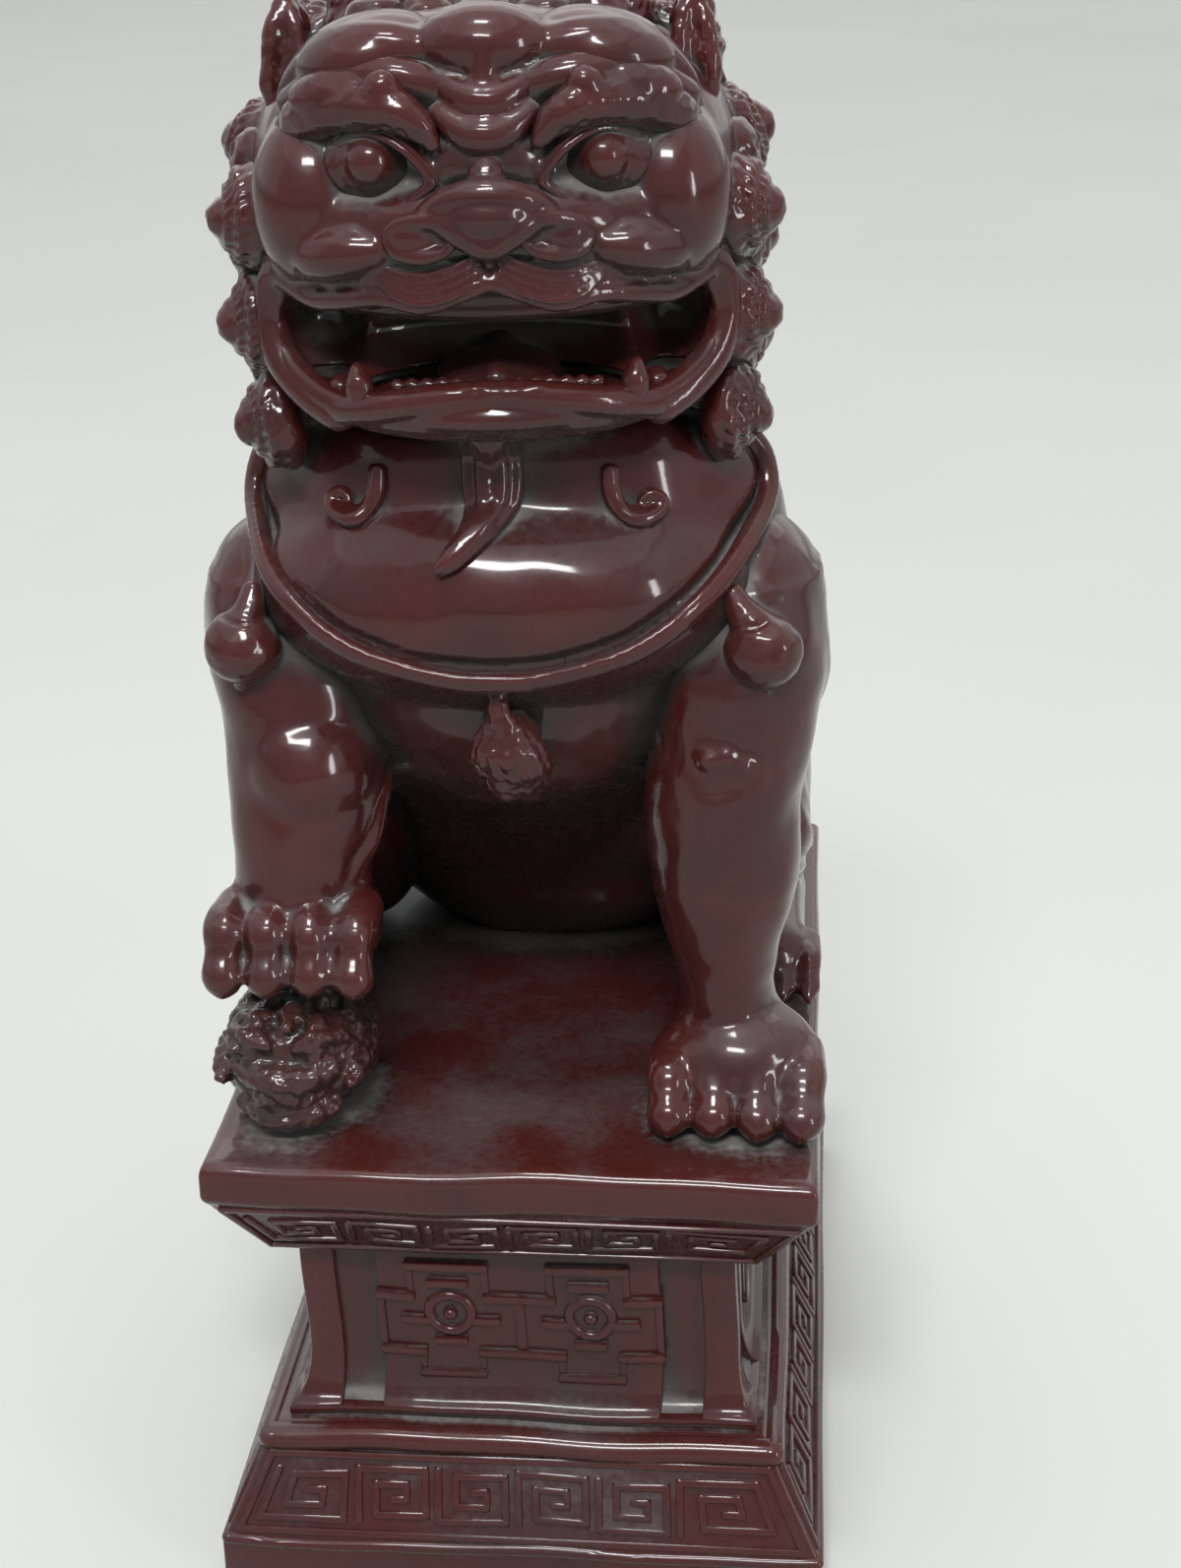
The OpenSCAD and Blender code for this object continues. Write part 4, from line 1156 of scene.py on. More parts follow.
class LION_OT_head(bpy.types.Operator):
    """Skull, cheeks, upper lip and the folds at the corners of the mouth"""

    bl_idname = "lion.head"
    bl_label = "Head"

    def execute(self, context):
        face = on_face()
        clay = Clay(face)
        clay.bm.from_mesh(self.skull())
        # Roll of each cheek under the eye
        clay.roll([(14.6, -25.2, 2.3, 2.3), (17.6, -24.2, 1.9, 3.2), (21.4, -21.6, 1.3, 3.3),
                   (24.3, -18, 0.8, 2.5)], BOTH)
        # Upper lip with the strands of the moustache above it
        clay.roll([(0, -28.6, -1, 1.1), (4, -28.3, -2.5, 1.2), (8.4, -27.4, -3.8, 1.3),
                   (13.5, -25.6, -3.2, 1.2), (18, -22.8, -3.7, 1.5), (22.6, -18.8, -4.4, 1.6),
                   (26.6, -14.8, -3, 1.7), (28.8, -12.2, -2, 1.8)], BOTH)
        clay.roll([(1.4, -28.4, 0.4, 0.9), (4.8, -28, -1.2, 1.5), (8.4, -27, -2, 1.7), (12, -25.8, -1.4, 1.3),
                   (14, -24.8, -0.2, 0.8)], BOTH)
        # Folds of skin from the corners of the mouth down to the jaw
        clay.roll([(27, -13.8, -1.8, 2), (29.2, -11.8, -4, 2.2), (29.8, -11.6, -9, 2.2),
                   (28.2, -13, -13.6, 2.4), (24.8, -15.6, -17, 2.4), (21, -17.8, -19.2, 2.3)], BOTH)
        # Bridge of the nose and the skin under the eyes
        clay.ball((0, -23.4, 11.8), (8, 4, 5.4))
        clay.ball((13.6, -20.4, 5.4), (9.6, 4.8, 4), sides=BOTH)
        # Beds that join the lobes of the forehead to the brows
        clay.ball((0, -13.4, 21), (25, 9.6, 7.6))
        clay.roll([(5.6, -22.8, 20.4, 2.4), (10.6, -22.8, 21.4, 2.7), (15.6, -21.2, 21.2, 2.9),
                   (20, -18.4, 20.2, 2.9), (24, -14.6, 17.8, 2.6)], BOTH)
        # Lids
        clay.roll([(21, -18.2, 10.8, 0.8), (18.4, -20.8, 8.1, 1), (14, -23.2, 6.9, 1.1), (10, -25, 7.6, 1),
                   (6.6, -26, 9.8, 0.8)], BOTH)
        clay.roll([(21, -18.2, 11, 0.8), (18, -21.4, 14.8, 1.1), (14, -23.6, 16.4, 1.2),
                   (9.8, -25.4, 14.2, 1), (6.8, -26, 10.6, 0.8)], BOTH)
        mesh = clay.fuse(voxel=0.5, passes=4)
        strokes = Strokes(mesh, face)
        strokes.draw([(21.4, -18.4, 8.4), (18.4, -21.4, 6), (13.8, -24, 5.2), (9, -25.8, 6.4)],
                     width=1.1, height=-0.35, sides=BOTH)
        strokes.draw([(28, -12, 1.4), (29.6, -9.6, 3.4), (30.2, -8, 8)], width=1.5, height=-0.6, sides=BOTH)
        hair = Clay(face)
        for k in range(4):
            up, back = 1.05 * k, 0.22 * k
            hair.roll([(1, back - 29.3, up - 0.8, 0.3), (4.4, back - 29.4, up - 2.4, 0.48),
                       (8, back - 28.7, up - 3.4, 0.5), (11.4, back - 27.5, 0.9 * up - 2.9, 0.45),
                       (14.2, back - 25.9, 0.6 * up - 1.2, 0.3)], BOTH)
        hair.roll([(21, -19, 10.6, 0.4), (18.4, -21.7, 7.9, 0.6), (14, -24.1, 6.8, 0.65),
                   (10, -25.8, 7.6, 0.6), (6.4, -26.6, 9.8, 0.4)], BOTH)
        hair.roll([(21, -19, 11, 0.4), (18.2, -22.3, 14.4, 0.6), (14, -24.6, 15.6, 0.6),
                   (9.8, -26.2, 13.8, 0.55), (6.6, -26.6, 10.4, 0.4)], BOTH)
        make_piece("head_sculpted", joined(strokes.done(), hair.fuse(voxel=0.3, passes=1)), ["head"])
        return {"FINISHED"}

    def skull(self):
        """Skull and the masses of the face, with the mouth and the throat cut out."""
        clay = Clay(on_neck())
        clay.loft([(0, 0, MANE_Z + z, r, r, 0) for z, r in HEAD_PROFILE], press=flat_front)
        clay.place = on_face()
        clay.ball((22.4, -14.4, 6.6), (8.3, 9.6, 11), sides=BOTH)
        clay.ball((0, -21, 4.4), (18.7, 8, 7))
        clay.ball((0, -22, -1.2), (18.5, 6.6, 3.6))
        clay.ball((0, -12, 17), (24, 13.2, 11))
        cut = Clay(on_face())
        cut.block((-20, -60, -15.4), (20, -22, -4.8))
        cut.ball((0, -23, -10.2), (23.5, 17, 6))
        cut.ball((0, -30, -5), (5.4, 9, 3.6))
        cut.ball((22.4, -20, -9), (6.8, 14, 6.8), sides=BOTH)
        cut.ball((13.9, -28, 11.6), (7.2, 4.8, 4.6), sides=BOTH)
        cut.block((-60, -120, -60), (60, -2, -15))
        return clay.fuse(voxel=0.5, passes=2, cut=cut)


class LION_OT_lower_jaw(bpy.types.Operator):
    """Lower jaw with its lip"""

    bl_idname = "lion.lower_jaw"
    bl_label = "Lower jaw"

    def execute(self, context):
        jaw = Clay(on_face())
        jaw.ball((0, -15, -19), (22, 11, 4))
        jaw.ball((0, -19.3, -18.2), (15, 8, 3.3))
        jaw.roll([(0, -24.9, -15.4, 2), (6, -24.8, -15.7, 2), (11, -24, -16.4, 2), (16, -21.8, -17.4, 2.1),
                  (20.4, -18.2, -18.2, 2.3), (23.5, -13, -18, 2.6)], BOTH)
        jaw.roll([(18, -20.4, -18, 1.6), (22.6, -17.4, -17, 1.9), (26.4, -14.6, -14.6, 1.9),
                  (28.4, -13, -12, 1.6)], BOTH)
        rng = np.random.default_rng(11)
        for x in np.arange(-15, 16, 2.5):
            jaw.ball((x, -25.8 + 0.017 * x * x, -14.5 - 0.006 * x * x + rng.uniform(-0.3, 0.2)),
                     (1.7, 1.2, 0.8), level=3)
        make_piece("lower_jaw_sculpted", jaw.fuse(voxel=0.42, passes=3), ["lower_jaw"], finish="carving")
        return {"FINISHED"}


class LION_OT_tongue(bpy.types.Operator):
    """Tongue on the floor of the mouth"""

    bl_idname = "lion.tongue"
    bl_label = "Tongue"

    def execute(self, context):
        face = on_face()
        tongue = Clay(face)
        tongue.ball((0, -14, -15.2), (8.4, 9.8, 3))
        tongue.roll([(0, -21.8, -14.2, 1.9), (0, -15, -14.6, 2.5), (0, -7, -14.4, 3)])
        strokes = Strokes(tongue.fuse(voxel=0.45, passes=5), face)
        strokes.draw([(0, -25.5, -13), (0, -22, -10.8), (0, -10, -8)], width=1.2, height=-0.5)
        make_piece("tongue_sculpted", strokes.done(), ["tongue"], finish="mouth")
        return {"FINISHED"}


class LION_OT_teeth(bpy.types.Operator):
    """Fangs, lower teeth, and the upper gum with its teeth"""

    bl_idname = "lion.teeth"
    bl_label = "Teeth"

    def execute(self, context):
        teeth = Clay(on_face())
        for side in BOTH:
            teeth.roll([(side * 17.4, -20.6, -17, 2), (side * 17.8, -20.9, -14.6, 1.8),
                        (side * 18, -20.6, -13, 1)])
            teeth.ball((side * 20.6, -16.6, -16), (1.8, 2.2, 1.7), level=3)
        for x in np.arange(-13, 14, 2.0):
            teeth.ball((x, -22.8 + 0.016 * x * x, -14.6 - 0.005 * x * x), (1.05, 1, 1.2), level=3)
        for x in np.arange(-15.75, 16, 2.1):
            y = -19.4 + 0.017 * x * x
            teeth.roll([(x, y, -4.2, 1.25), (x, y, -6.2, 1.15)])
        for z in (-4.6, -6.2):
            teeth.roll(arch([(0, -19.6, z, 1.5), (10, -18, z, 1.5), (19, -13.4, z, 1.5)]))
        make_piece("teeth_sculpted", teeth.fuse(voxel=0.4, passes=3), ["teeth"],
                   finish="mouth")
        return {"FINISHED"}


class LION_OT_nose(bpy.types.Operator):
    """Nose with its curled nostrils"""

    bl_idname = "lion.nose"
    bl_label = "Nose"

    def execute(self, context):
        clay = Clay(on_face())
        clay.roll([(0, -25.2, 13.4, 2), (0, -26.8, 11, 2.4)])
        clay.roll(arch([(0, -29.2, 9, 2.2), (4.6, -28.6, 8.4, 1.8), (7.6, -27.2, 7, 1.3)]))
        clay.roll(arch([(0, -29.6, 3.2, 1.7), (3, -29, 5, 2.2), (6.4, -27.6, 6.8, 1.9)]))
        clay.ball((0, -28.6, 6.6), (5.4, 3.2, 3))
        clay.roll([(0, -29.2, 3.4, 1.4), (0, -28.6, 1.2, 0.9)])
        for side in BOTH:
            # Curled rim round the nostril
            clay.roll([(side * 4, -29.2, 6.2, 1.2), (side * 7.6, -28.4, 6.2, 1.15),
                       (side * 10.8, -27, 5.6, 1.15), (side * 12.4, -26, 4, 1.15),
                       (side * 11.4, -26.7, 2.4, 1.1), (side * 8.4, -28, 1.9, 1.05),
                       (side * 5.8, -28.8, 2.4, 0.8), (side * 4.6, -29, 3.2, 0.6)])
            clay.ball((side * 8.4, -26.9, 4), (3.8, 1.7, 2.1))
        make_piece("nose_sculpted", clay.fuse(voxel=0.36, passes=3), ["nose"])
        return {"FINISHED"}


class LION_OT_forehead(bpy.types.Operator):
    """Lobes of the forehead and the folds between the brows"""

    bl_idname = "lion.forehead"
    bl_label = "Forehead"

    def execute(self, context):
        clay = Clay(on_face())
        clay.ball((0, -19.8, 24.8), (8.4, 5.8, 4.8))
        clay.roll([(0, -22.6, 24, 3.8), (0, -24.4, 21.4, 1.8)])
        clay.ball((14.2, -16.2, 23.2), (9.6, 7.6, 5.2), turn=(0, 10, 0), sides=BOTH)
        clay.roll([(7, -20.2, 24, 2.8), (13, -20, 24.4, 3.4), (18.6, -17.4, 23.2, 3.6),
                   (23, -13.4, 19.4, 3.2), (25, -11.4, 15.4, 2.4)], BOTH)
        # Two folds that point down between the brows
        clay.roll(arch([(0, -25.2, 18.9, 2.3), (3.4, -24.4, 19.9, 1.9), (6.8, -22.4, 22, 1.2)]))
        clay.roll(arch([(0, -26.4, 15.2, 2.5), (2.9, -26, 15.9, 2), (5.8, -25, 17.8, 1.2)]))
        make_piece("forehead_sculpted", clay.fuse(voxel=0.45, passes=4), ["forehead"])
        return {"FINISHED"}


class LION_OT_brows(bpy.types.Operator):
    """Brows with tufts and a curl of hair"""

    bl_idname = "lion.brows"
    bl_label = "Brows"

    def execute(self, context):
        for name, side in pair("brow"):
            here = sided(on_face(), side)
            clay = Clay(here)
            clay.roll([(6.4, -26.6, 14.6, 1.1), (7.8, -26.4, 16.4, 1.9), (10.6, -25.8, 18.2, 2.6),
                       (14.4, -24, 18.6, 3), (18.4, -21.6, 18.2, 3.3), (21.8, -18.6, 16.8, 3.4),
                       (24, -15.2, 14.6, 3)])
            clay.ball((15, -20.4, 20), (9.4, 4.6, 3.8), turn=(0, 6, 0))
            # Tufts of hair along the ridge
            clay.ball((12.2, -25.2, 20.6), (2.5, 2.2, 2.4))
            for x, y, z, lean, r in ((9, -26.4, 19, 0.2, 1.1), (15.4, -23, 21, 0.6, 1.3),
                                     (17.4, -21.8, 21.2, 0.7, 1.4), (19.6, -20.2, 20.6, 0.9, 1.4),
                                     (21.6, -18.4, 19.4, 1, 1.3), (23.4, -16.4, 17.8, 1.1, 1.3)):
                clay.roll([(x - 1, y - 0.6, z - 2.6, r), (x, y - 0.6, z - 0.5, r),
                           (x + lean * 1.2, y + 0.6, z + 0.4, r * 0.7)])
            # Curl at the outer half
            clay.roll([(21.4, -20, 17.2, 1), (20.4, -21.2, 19, 0.9), (18.2, -22.6, 19.4, 0.9),
                       (16.8, -23.4, 18.2, 0.85), (17.8, -23.4, 16.9, 0.8), (19.4, -22.4, 17.4, 0.7)])
            clay.roll([(21.6, -18.6, 15.4, 1.8), (24, -15.6, 13.8, 1.8), (25.2, -13.6, 12.8, 1.3)])
            mesh = roughened(clay.fuse(voxel=0.36, passes=4), height=0.16, scale=0.45, seed=5 + side)
            strokes = Strokes(mesh, here)
            for i in range(8):
                x = 7.6 + 2 * i
                y = -28.4 + 0.024 * (x - 5) ** 2
                strokes.draw([(x, y, 14.4 + 0.9 * min(i, 3)), (x + 1.4, y + 1, 18 + 0.4 * min(i, 4))],
                             width=0.7, height=-0.3)
            make_piece(name + "_sculpted", strokes.done(), [name], finish="carving")
        return {"FINISHED"}


class LION_OT_eyes(bpy.types.Operator):
    """Bulging eyes"""

    bl_idname = "lion.eyes"
    bl_label = "Eyes"

    def execute(self, context):
        for name, side in pair("eye"):
            clay = Clay(sided(on_face(), side))
            clay.ball((14, -21.2, 11.5), (6.8, 3.2, 4.4))
            clay.ball((14.2, -21.8, 12), (4.8, 3.6, 4.5))
            clay.ball((14.3, -23.2, 12.3), (3.3, 3.4, 3.3))
            make_piece(name + "_sculpted", clay.fuse(voxel=0.35, passes=3), [name])
        return {"FINISHED"}


class LION_OT_ears(bpy.types.Operator):
    """Ears laid back against the mane"""

    bl_idname = "lion.ears"
    bl_label = "Ears"

    def execute(self, context):
        for name, side in pair("ear"):
            clay = Clay(sided(on_face(), side))
            clay.ball((25.6, -3, 20.6), (2.9, 4, 6.4), turn=(0, 8, 0))
            clay.roll([(25.2, -3, 25, 2.3), (25.6, -3, 27.6, 1.7), (26, -3.2, 29.8, 0.8)])
            clay.roll([(27.6, -6.2, 14.6, 1), (28.4, -6.4, 19.4, 1.3), (27.6, -5.6, 25, 1.2),
                       (26.4, -4.2, 29, 0.8)])
            clay.roll([(25, -6.8, 14.6, 1), (24.2, -6.8, 19.4, 1.3), (24.6, -5.8, 25, 1.2),
                       (26, -4.2, 29, 0.8)])
            mesh = roughened(clay.fuse(voxel=0.4, passes=4), height=0.3, scale=0.35, seed=9)
            make_piece(name + "_sculpted", mesh, [name])
        return {"FINISHED"}


# Mane


def snail_curl():
    """One bun of hair that winds up to a round knob."""
    r = in_mm(sizes().curl_radius)
    clay = Clay()
    clay.ball((0, 0, -0.2), (r * 1.1, r * 1.1, 3.4))
    clay.roll(spiral(turns=2.1, start=r - 0.8, end=2.0, rise=(1.3, 4.0), radius=(1.35, 1.25)), step=0.4)
    clay.ball((0, 0, 3.9), (2.7, 2.7, 2.5))
    mesh = clay.fuse(voxel=0.34, passes=3)
    strokes = Strokes(mesh, Matrix())
    hairs = 20
    for k in range(hairs):
        line = []
        for out, z in ((2.9, 4), (4.2, 3.6), (5.4, 2.8), (6.6, 1.2)):
            a = 2 * math.pi * k / hairs + 0.9 - 0.15 * out
            line.append((out * math.cos(a), out * math.sin(a), z))
        strokes.draw(line, width=0.6, height=-0.3)
    return roughened(strokes.done(), height=0.25, scale=0.4, seed=2)


def small_lock():
    """Small bun of hair that fills the gap between the snail curls."""
    clay = Clay()
    clay.ball((0, 0, -0.4), (4.2, 4.2, 2.2))
    clay.roll(spiral(turns=1.5, start=3.1, end=1.2, rise=(0.7, 2.0), radius=(1.1, 1.0)), step=0.5)
    return roughened(clay.fuse(voxel=0.5, passes=3), height=0.2, scale=0.4, seed=3)


def curl_place(turn, z):
    """Frame of a curl on the head: turn from the back of the head, and height above the lowest curls."""
    lean = math.atan2(head_radius(z - 1) - head_radius(z + 1), 2)
    return (on_neck() @ Matrix.Rotation(math.radians(turn), 4, "Z")
            @ Matrix.Translation((0, head_radius(z) - 0.2, MANE_Z + z))
            @ Matrix.Rotation(-math.pi / 2 + lean, 4, "X"))


class LION_OT_mane(bpy.types.Operator):
    """Rows of snail curls round the sides, the back and the crown of the head"""

    bl_idname = "lion.mane"
    bl_label = "Mane"

    def execute(self, context):
        # Height of a row and turn of a column, where every other column stands half a row higher
        step, turn = 12.8, 26
        groups = {"right_mane": [], "left_mane": [], "nape_mane": [], "crown_curls": []}
        for c in range(-4, 5):
            name = "left_mane" if c < -1 else "right_mane" if c > 1 else "nape_mane"
            for r in range(4):
                if abs(c) < 4 or r < 3:
                    groups[name].append(curl_place(c * turn, (r + (abs(c) % 2) * 0.5) * step))
        groups["crown_curls"] = [curl_place(a, 49.2) for a in range(-98, 99, 49)]
        groups["crown_curls"].append(on_neck() @ Matrix.Translation((0, 0, MANE_Z + 50)))
        curl = snail_curl()
        lock = small_lock()
        # Small locks at the middle of each three neighbouring curls, and on the bare crown
        between = {name: [] for name in groups}
        for c in range(-4, 4):
            low, high = sorted((c, c + 1), key=lambda k: abs(k) % 2)
            name = "left_mane" if c < -1 else "right_mane" if c > 0 else "nape_mane"
            for m in range(8 if -4 < c < 3 else 6):
                near = low + (high - low) * (1 / 3 if m % 2 else 2 / 3)
                between[name].append(curl_place(near * turn, m * 0.5 * step))
        between["crown_curls"] = [curl_place(a, z) for a, z in (
            (152, 46.4), (-152, 46.4), (128, 45), (-128, 45), (73, 46), (-73, 46), (25, 46), (-25, 46))]
        between["crown_curls"] += [on_neck() @ Matrix.Translation((x, y, MANE_Z + 49.4)) for x, y in (
            (0, -13), (7.4, -11.6), (-7.4, -11.6), (14, -9.6), (-14, -9.6))]
        for name, places in groups.items():
            bm = bmesh.new()
            side = -1 if name == "right_mane" else 1
            for i, place in enumerate(places):
                add_mesh(bm, curl, sided(place @ Matrix.Rotation(0.9 * i, 4, "Z"), side))
            for i, place in enumerate(between[name]):
                add_mesh(bm, lock, place @ Matrix.Rotation(1.7 * i, 4, "Z"))
            bmesh.ops.recalc_face_normals(bm, faces=bm.faces[:])
            make_piece(name + "_sculpted", as_mesh(bm, name), [name], finish="carving")
        return {"FINISHED"}


class LION_OT_beard(bpy.types.Operator):
    """Goatee that lies on the chest"""

    bl_idname = "lion.beard"
    bl_label = "Beard"

    def execute(self, context):
        clay = Clay(on_dais())
        for dx, tip, r in ((-3.2, 1.4, 1), (-1.1, 0.4, 1.15), (1.1, -0.6, 1.15), (3.1, -1.6, 1)):
            strand = [(dx * 0.95, 95, r), (dx * 0.95 + 0.2, 91.5, r), (dx * 0.8, 88.6, r * 0.95),
                      (dx * 0.55 - 1.6, 86, r * 0.85), (dx * 0.25 - 4.4, 83.6 + tip * 0.4, r * 0.6),
                      (-6.2, 82.2 + tip * 0.4, 0.35)]
            clay.roll([(dx, -43, 99, r)] + [(*on_chest(x, z, 2.0 - 0.12 * dx * dx), w) for x, z, w in strand])
        core = ((0, 94, 2.2), (-0.2, 90, 1.9), (-1.6, 86.4, 1.2))
        clay.roll([(0, -42, 98, 2.4)] + [(*on_chest(x, z, 0.2), w) for x, z, w in core])
        make_piece("beard_sculpted", clay.fuse(voxel=0.4, passes=3), ["beard"], finish="carving")
        return {"FINISHED"}


class LION_OT_beard_curls(bpy.types.Operator):
    """Curled locks under the corners of the jaw"""

    bl_idname = "lion.beard_curls"
    bl_label = "Beard curls"

    def execute(self, context):
        for name, side in pair("beard_curl"):
            clay = Clay(on_dais())
            for off, r in ((0, 1.3), (0.9, 0.9)):
                lock = [(14.6 + off, 93, 0.7 * r), (14.9 + off * 0.6, 90.4, r), (16 + off * 0.2, 88, r),
                        (18, 86.6 + off, r), (20.6, 87.1 + off * 0.4, r * 0.9),
                        (21.2, 88.7 - off * 0.4, r * 0.8), (19.9, 89.7 - off * 0.4, r * 0.65),
                        (18.7, 88.9 - off * 0.3, r * 0.5)]
                clay.roll([(*on_chest(side * x, z, 0.5), w) for x, z, w in lock])
            make_piece(name + "_sculpted", clay.fuse(voxel=0.4, passes=3), [name], finish="carving")
        return {"FINISHED"}


class LION_OT_collar(bpy.types.Operator):
    """Collar of a thick cord between two thin ones"""

    bl_idname = "lion.collar"
    bl_label = "Collar"

    def execute(self, context):
        clay = Clay(on_dais())
        for dz, out, r in ((0, 0.2, 1.5), (1, 0.8, 0.8), (-1.1, 0.3, 0.8)):
            half = [(x, z + dz, r * (1 + max(0, z - 76) * 0.012)) for x, z in COLLAR_LINE]
            clay.roll([(*on_chest(-x, z, out), w) for x, z, w in reversed(half[1:])]
                      + [(*on_chest(x, z, out), w) for x, z, w in half])
        make_piece("collar_sculpted", clay.fuse(voxel=0.45, passes=3), ["collar"])
        return {"FINISHED"}


class LION_OT_bells(bpy.types.Operator):
    """Round bells at the shoulders"""

    bl_idname = "lion.bells"
    bl_label = "Bells"

    def execute(self, context):
        for name, side in pair("bell"):
            here = sided(on_dais(), side)
            clay = Clay(here)
            x, y, z = 34.4, -39.4, 69
            tilt = 0.55 if side > 0 else 0.25
            clay.ball((x, y, z), (5.2, 4.9, 5.2))
            clay.roll([(x, y, z + 2, 3.4), (x - 4.6 * tilt, y + 0.6, z + 4.8, 2.4),
                       (x - 7 * tilt, y + 1.6, z + 7, 1.8)])
            clay.roll([(x, y, z - 2.4, 3.4), (x + 0.3, y, z - 5, 1.5)])
            mesh = roughened(clay.fuse(voxel=0.38, passes=4), height=0.22, scale=0.3, seed=11 + side)
            strokes = Strokes(mesh, here)
            rim = [(x - 4.2 * tilt + 3 * math.cos(a), y + 3 * math.sin(a), z + 4.3)
                   for a in np.linspace(math.pi, 2 * math.pi, 9)]
            strokes.draw(rim, width=0.8, height=-0.4)
            make_piece(name + "_sculpted", strokes.done(), [name])
        return {"FINISHED"}


class LION_OT_tassel(bpy.types.Operator):
    """Tassel under the middle of the collar"""

    bl_idname = "lion.tassel"
    bl_label = "Tassel"

    def execute(self, context):
        clay = Clay(on_dais())
        clay.roll([(0, -44.4, 66, 1.3), (0.3, -45.2, 63, 1.5), (0.8, -45, 60, 2.4)])
        clay.ball((1.5, -43.4, 55.6), (3.9, 3.2, 6.2), turn=(-12, 10, 0))
        rng = np.random.default_rng(5)
        for a in np.arange(-75, 76, 25):
            s, c = math.sin(math.radians(a)), math.cos(math.radians(a))
            clay.roll([(0.5 + 1.6 * s, -44.6 - 1.2 * c, 61.4, 0.7),
                       (1.4 + 4.2 * s, -43.8 - 3.2 * c, 56.4, 1.15),
                       (2.2 + 3.6 * s, -42.8 - 2.8 * c, 52.4, 1.0),
                       (3 + 1.6 * s + rng.uniform(-0.4, 0.4), -42 - 1.4 * c, 49.2, 0.5)])
        mesh = roughened(clay.fuse(voxel=0.35, passes=3), height=0.3, scale=0.5, seed=4)
        make_piece("tassel_sculpted", mesh, ["tassel"], finish="carving")
        return {"FINISHED"}


class LION_OT_cub(bpy.types.Operator):
    """Cub under the raised paw"""

    bl_idname = "lion.cub"
    bl_label = "Cub"

    def execute(self, context):
        place = on_dais() @ Matrix.Translation((-31, 0, 0))
        clay = Clay(place)
        clay.ball((0, -36, 8), (11, 12.5, 9.6))
        clay.ball((0, -43.4, 9.2), (10, 8, 8.6))
        clay.roll([(-6.6, -49.2, 10.6, 1.4), (-3.4, -51.2, 10, 2), (0, -51.8, 9.6, 2.2), (3.4, -51.2, 10, 2),
                   (6.6, -49.2, 10.8, 1.4)])
        clay.roll([(-6, -49, 4.6, 1.5), (-2.6, -51, 3.8, 1.8), (2.6, -51, 3.8, 1.8), (6, -49, 4.6, 1.5)])
        clay.ball((0, -50.6, 6.6), (4.6, 2.6, 2))
        for side in BOTH:
            clay.ball((side * 4.4, -49.6, 13.2), (1.8, 1.5, 1.6))
            clay.roll([(side * 2, -50.6, 14.6, 1.1), (side * 5, -49.4, 15.6, 1.3),
                       (side * 8, -46.8, 14.4, 1)])
        rng = np.random.default_rng(3)
        for _ in range(40):
            a = math.radians(rng.uniform(-20, 200))
            y = rng.uniform(-49.5, -36)
            x, z = 9.8 * math.cos(a), 9 + 8.6 * math.sin(a)
            clay.roll([(x * 0.86, y + 2, max(1, z * 0.95), 1.8), (x * 0.95, y, max(0.8, z), 1.5),
                       (x * 0.93, y - 2.2, max(0.6, z - 0.6), 0.9)])
        mesh = roughened(clay.fuse(voxel=0.42, passes=2, cut=below_dais()), height=0.55, scale=0.55, seed=3)
        make_piece("cub_sculpted", mesh, ["cub"], finish="rough")
        return {"FINISHED"}


# Stage

FOCAL_PIXELS = 2400
PHOTO_HEIGHT_PIXELS = 1593
# Place in metres; yaw, pitch and roll in degrees
CAMERA_PLACE = (0.0403, -0.3276, 0.2467)
CAMERA_ANGLES = (-5.72, 23.75, 1.5)


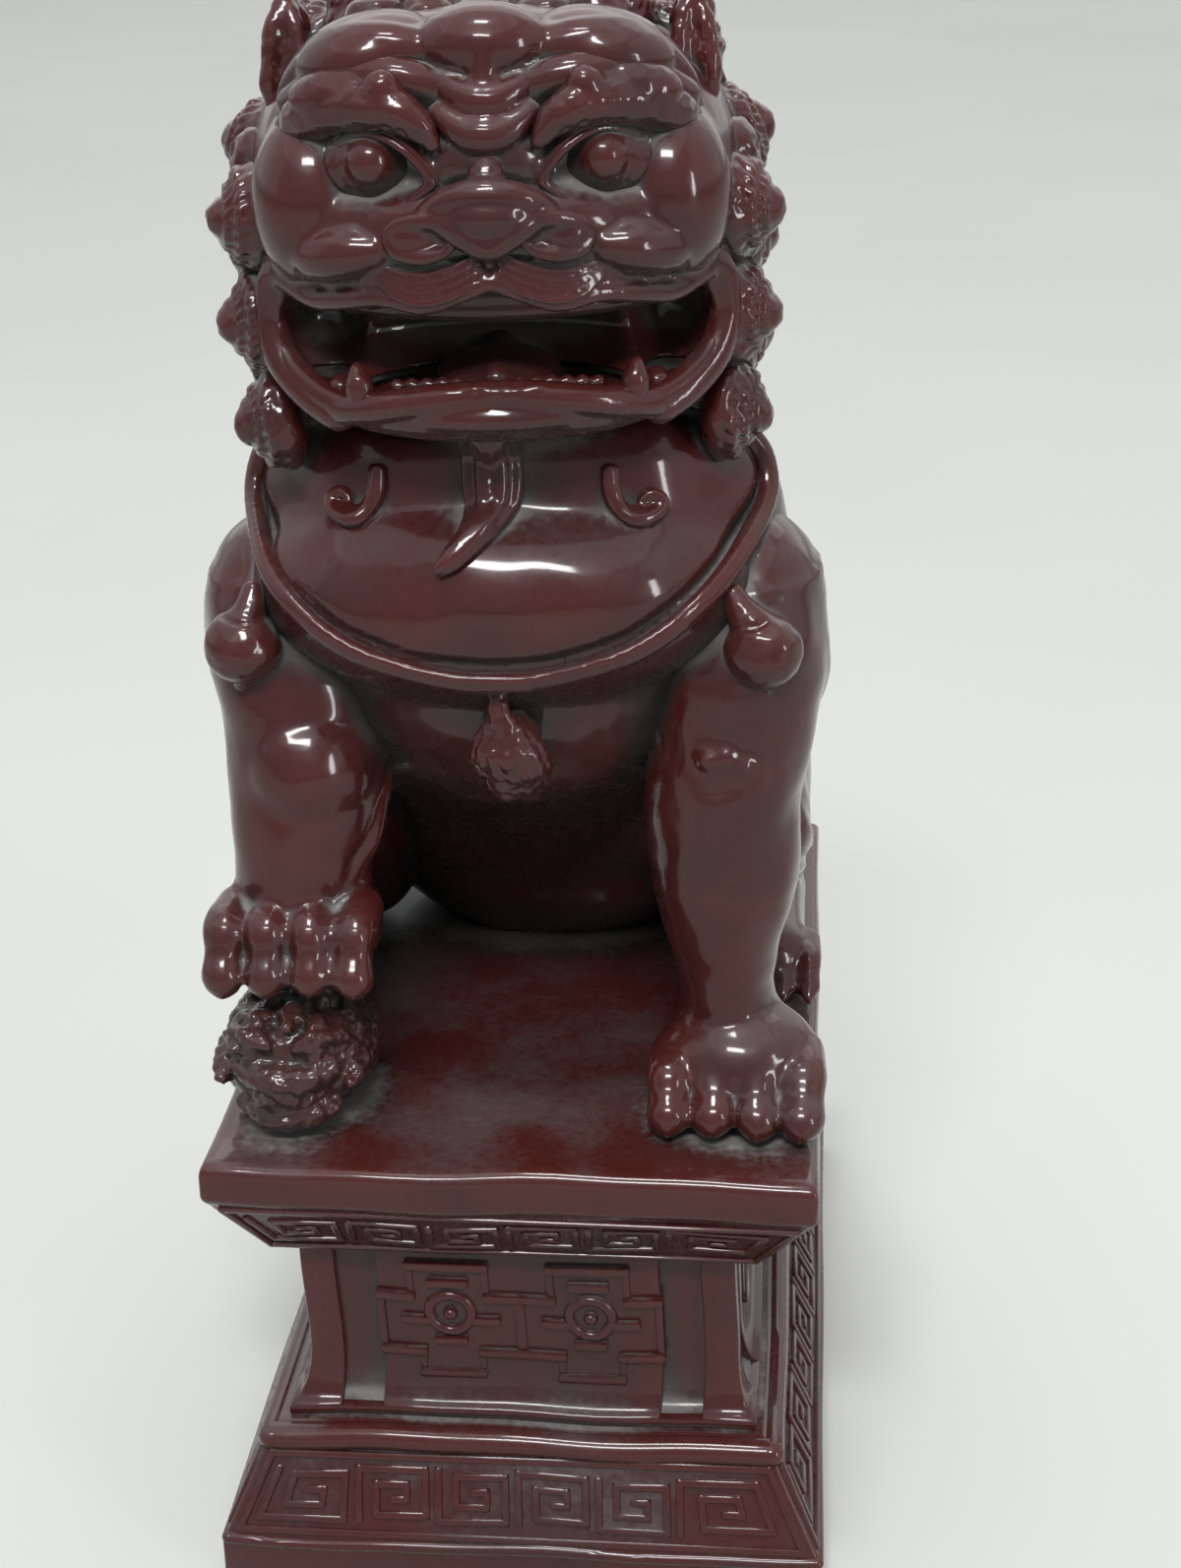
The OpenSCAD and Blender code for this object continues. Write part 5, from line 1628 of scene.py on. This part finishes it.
class LION_OT_stage(bpy.types.Operator):
    """Pale floor, soft lamps and the camera"""

    bl_idname = "lion.stage"
    bl_label = "Stage"

    def execute(self, context):
        self.floor()
        self.lamps()
        self.camera()
        return {"FINISHED"}

    def floor(self):
        bm = bmesh.new()
        bmesh.ops.create_grid(bm, x_segments=2, y_segments=2, size=30)
        mesh = as_mesh(bm, "floor")
        s = Shader("pale_floor")
        at = s.node("ShaderNodeTexCoord", output="Object")
        tone = tuple(colours().floor)
        cloud = s.span(s.noise(at, 3.0, 4.0), 0.3, 0.7)
        colour = s.mix(cloud, tone, tuple(c * 0.96 for c in tone))
        mesh.materials.append(s.output(s.node("ShaderNodeBsdfPrincipled", None, {
            "Base Color": colour, "Roughness": 0.7, "Specular IOR Level": 0.2})))
        in_scene("floor", mesh)

    def lamps(self):
        """Soft light from above, a lamp and two windows to shine in the lacquer, and pale walls."""
        scene = bpy.context.scene
        world = bpy.data.worlds.new("studio")
        scene.world = world
        world.use_nodes = True
        back = world.node_tree.nodes["Background"]
        back.inputs["Color"].default_value = (0.92, 0.96, 1, 1)
        self.backdrop(world.node_tree, back.inputs["Strength"], lit=0.14, seen=0.52)
        sun = bpy.data.lights.new("overhead", "SUN")
        sun.energy = 0.78
        sun.angle = math.radians(80)
        self.aim(sun, (-0.1, -0.2, 1), (0, 0, 0))
        # Name, place, size, glow and angle of the beam
        for name, at, size, glow, beam in (
                ("lamp", (-0.05, -0.35, 1.8), (0.36, 0.2), 46, 180),
                ("window", (0.0, -1.2, 1.45), (0.7, 0.24), 42, 180),
                ("side_window", (1.25, -0.85, 0.4), (0.12, 0.6), 5.2, 90),
                ("ceiling", (0, 2.2, 2.6), (4, 2), 1.3, 180),
                ("back_wall", (0, 3.2, 1.5), (6, 2.6), 0.6, 180),
                ("left_wall", (1.5, 0.2, 0.95), (2, 1.5), 0.4, 180),
                ("right_wall", (-1.5, 0.2, 0.95), (2, 1.5), 0.4, 180)):
            panel = bpy.data.lights.new(name, "AREA")
            panel.shape = "RECTANGLE"
            panel.size, panel.size_y = size
            panel.energy = glow * math.pi * size[0] * size[1]
            panel.spread = math.radians(beam)
            self.aim(panel, at, (0, 0, 0.12))
        scene.view_settings.view_transform = "Standard"

    def backdrop(self, tree, strength, lit, seen):
        """World that lights the lion softly and shows as a pale wall to the camera and in the gloss."""
        path = tree.nodes.new("ShaderNodeLightPath")
        shown = tree.nodes.new("ShaderNodeMath")
        shown.operation = "ADD"
        shown.use_clamp = True
        tree.links.new(path.outputs["Is Camera Ray"], shown.inputs[0])
        tree.links.new(path.outputs["Is Glossy Ray"], shown.inputs[1])
        level = tree.nodes.new("ShaderNodeMath")
        level.operation = "MULTIPLY_ADD"
        level.inputs[1].default_value = seen - lit
        level.inputs[2].default_value = lit
        tree.links.new(shown.outputs[0], level.inputs[0])
        tree.links.new(level.outputs[0], strength)

    def aim(self, light, at, target):
        lamp = in_scene(light.name, light)
        lamp.location = at
        lamp.rotation_euler = (Vector(target) - Vector(at)).to_track_quat("-Z", "Y").to_euler()

    def camera(self):
        """Camera fitted to the pedestal's edges and to pairs of features of the lion."""
        data = bpy.data.cameras.new("camera")
        data.sensor_fit = "VERTICAL"
        data.sensor_height = 36
        data.lens = data.sensor_height * FOCAL_PIXELS / PHOTO_HEIGHT_PIXELS
        camera = in_scene("camera", data)
        yaw, pitch, roll = (math.radians(a) for a in CAMERA_ANGLES)
        ahead = Vector((math.sin(yaw) * math.cos(pitch), math.cos(yaw) * math.cos(pitch), -math.sin(pitch)))
        right = Vector((math.cos(yaw), -math.sin(yaw), 0))
        down = ahead.cross(right)
        across = math.cos(roll) * right + math.sin(roll) * down
        below = math.cos(roll) * down - math.sin(roll) * right
        turn = Matrix((across, -below, -ahead)).transposed().to_4x4()
        camera.matrix_world = Matrix.Translation(CAMERA_PLACE) @ turn
        bpy.context.scene.camera = camera


# Panel


class LION_PT_panel(bpy.types.Panel):
    """Lists the pieces of the lion and its sizes"""

    bl_idname = "LION_PT_panel"
    bl_label = "Guardian lion"
    bl_space_type = "VIEW_3D"
    bl_region_type = "UI"
    bl_category = "Lion"

    def draw(self, context):
        for group in (context.scene.lion_sizes, context.scene.lion_colours):
            for name in group.__annotations__:
                self.layout.prop(group, name)
        for operator in OPERATORS:
            self.layout.operator(operator.bl_idname)


OPERATORS = (
    LION_OT_plinth, LION_OT_waist, LION_OT_dais, LION_OT_body, LION_OT_forelegs, LION_OT_hind_legs,
    LION_OT_tail, LION_OT_head, LION_OT_lower_jaw, LION_OT_tongue, LION_OT_teeth, LION_OT_nose,
    LION_OT_forehead, LION_OT_brows, LION_OT_eyes, LION_OT_ears, LION_OT_mane, LION_OT_beard,
    LION_OT_beard_curls, LION_OT_collar, LION_OT_bells, LION_OT_tassel, LION_OT_cub, LION_OT_stage,
)
CLASSES = (LionSizes, LionColours, *OPERATORS, LION_PT_panel)


def register():
    for cls in CLASSES:
        bpy.utils.register_class(cls)
    bpy.types.Scene.lion_sizes = bpy.props.PointerProperty(type=LionSizes)
    bpy.types.Scene.lion_colours = bpy.props.PointerProperty(type=LionColours)


def unregister():
    del bpy.types.Scene.lion_colours
    del bpy.types.Scene.lion_sizes
    for cls in reversed(CLASSES):
        bpy.utils.unregister_class(cls)


def main():
    register()
    for operator in OPERATORS:
        group, name = operator.bl_idname.split(".")
        getattr(getattr(bpy.ops, group), name)()
    store_crease_crest_and_shelter()


if __name__ == "__main__":
    main()
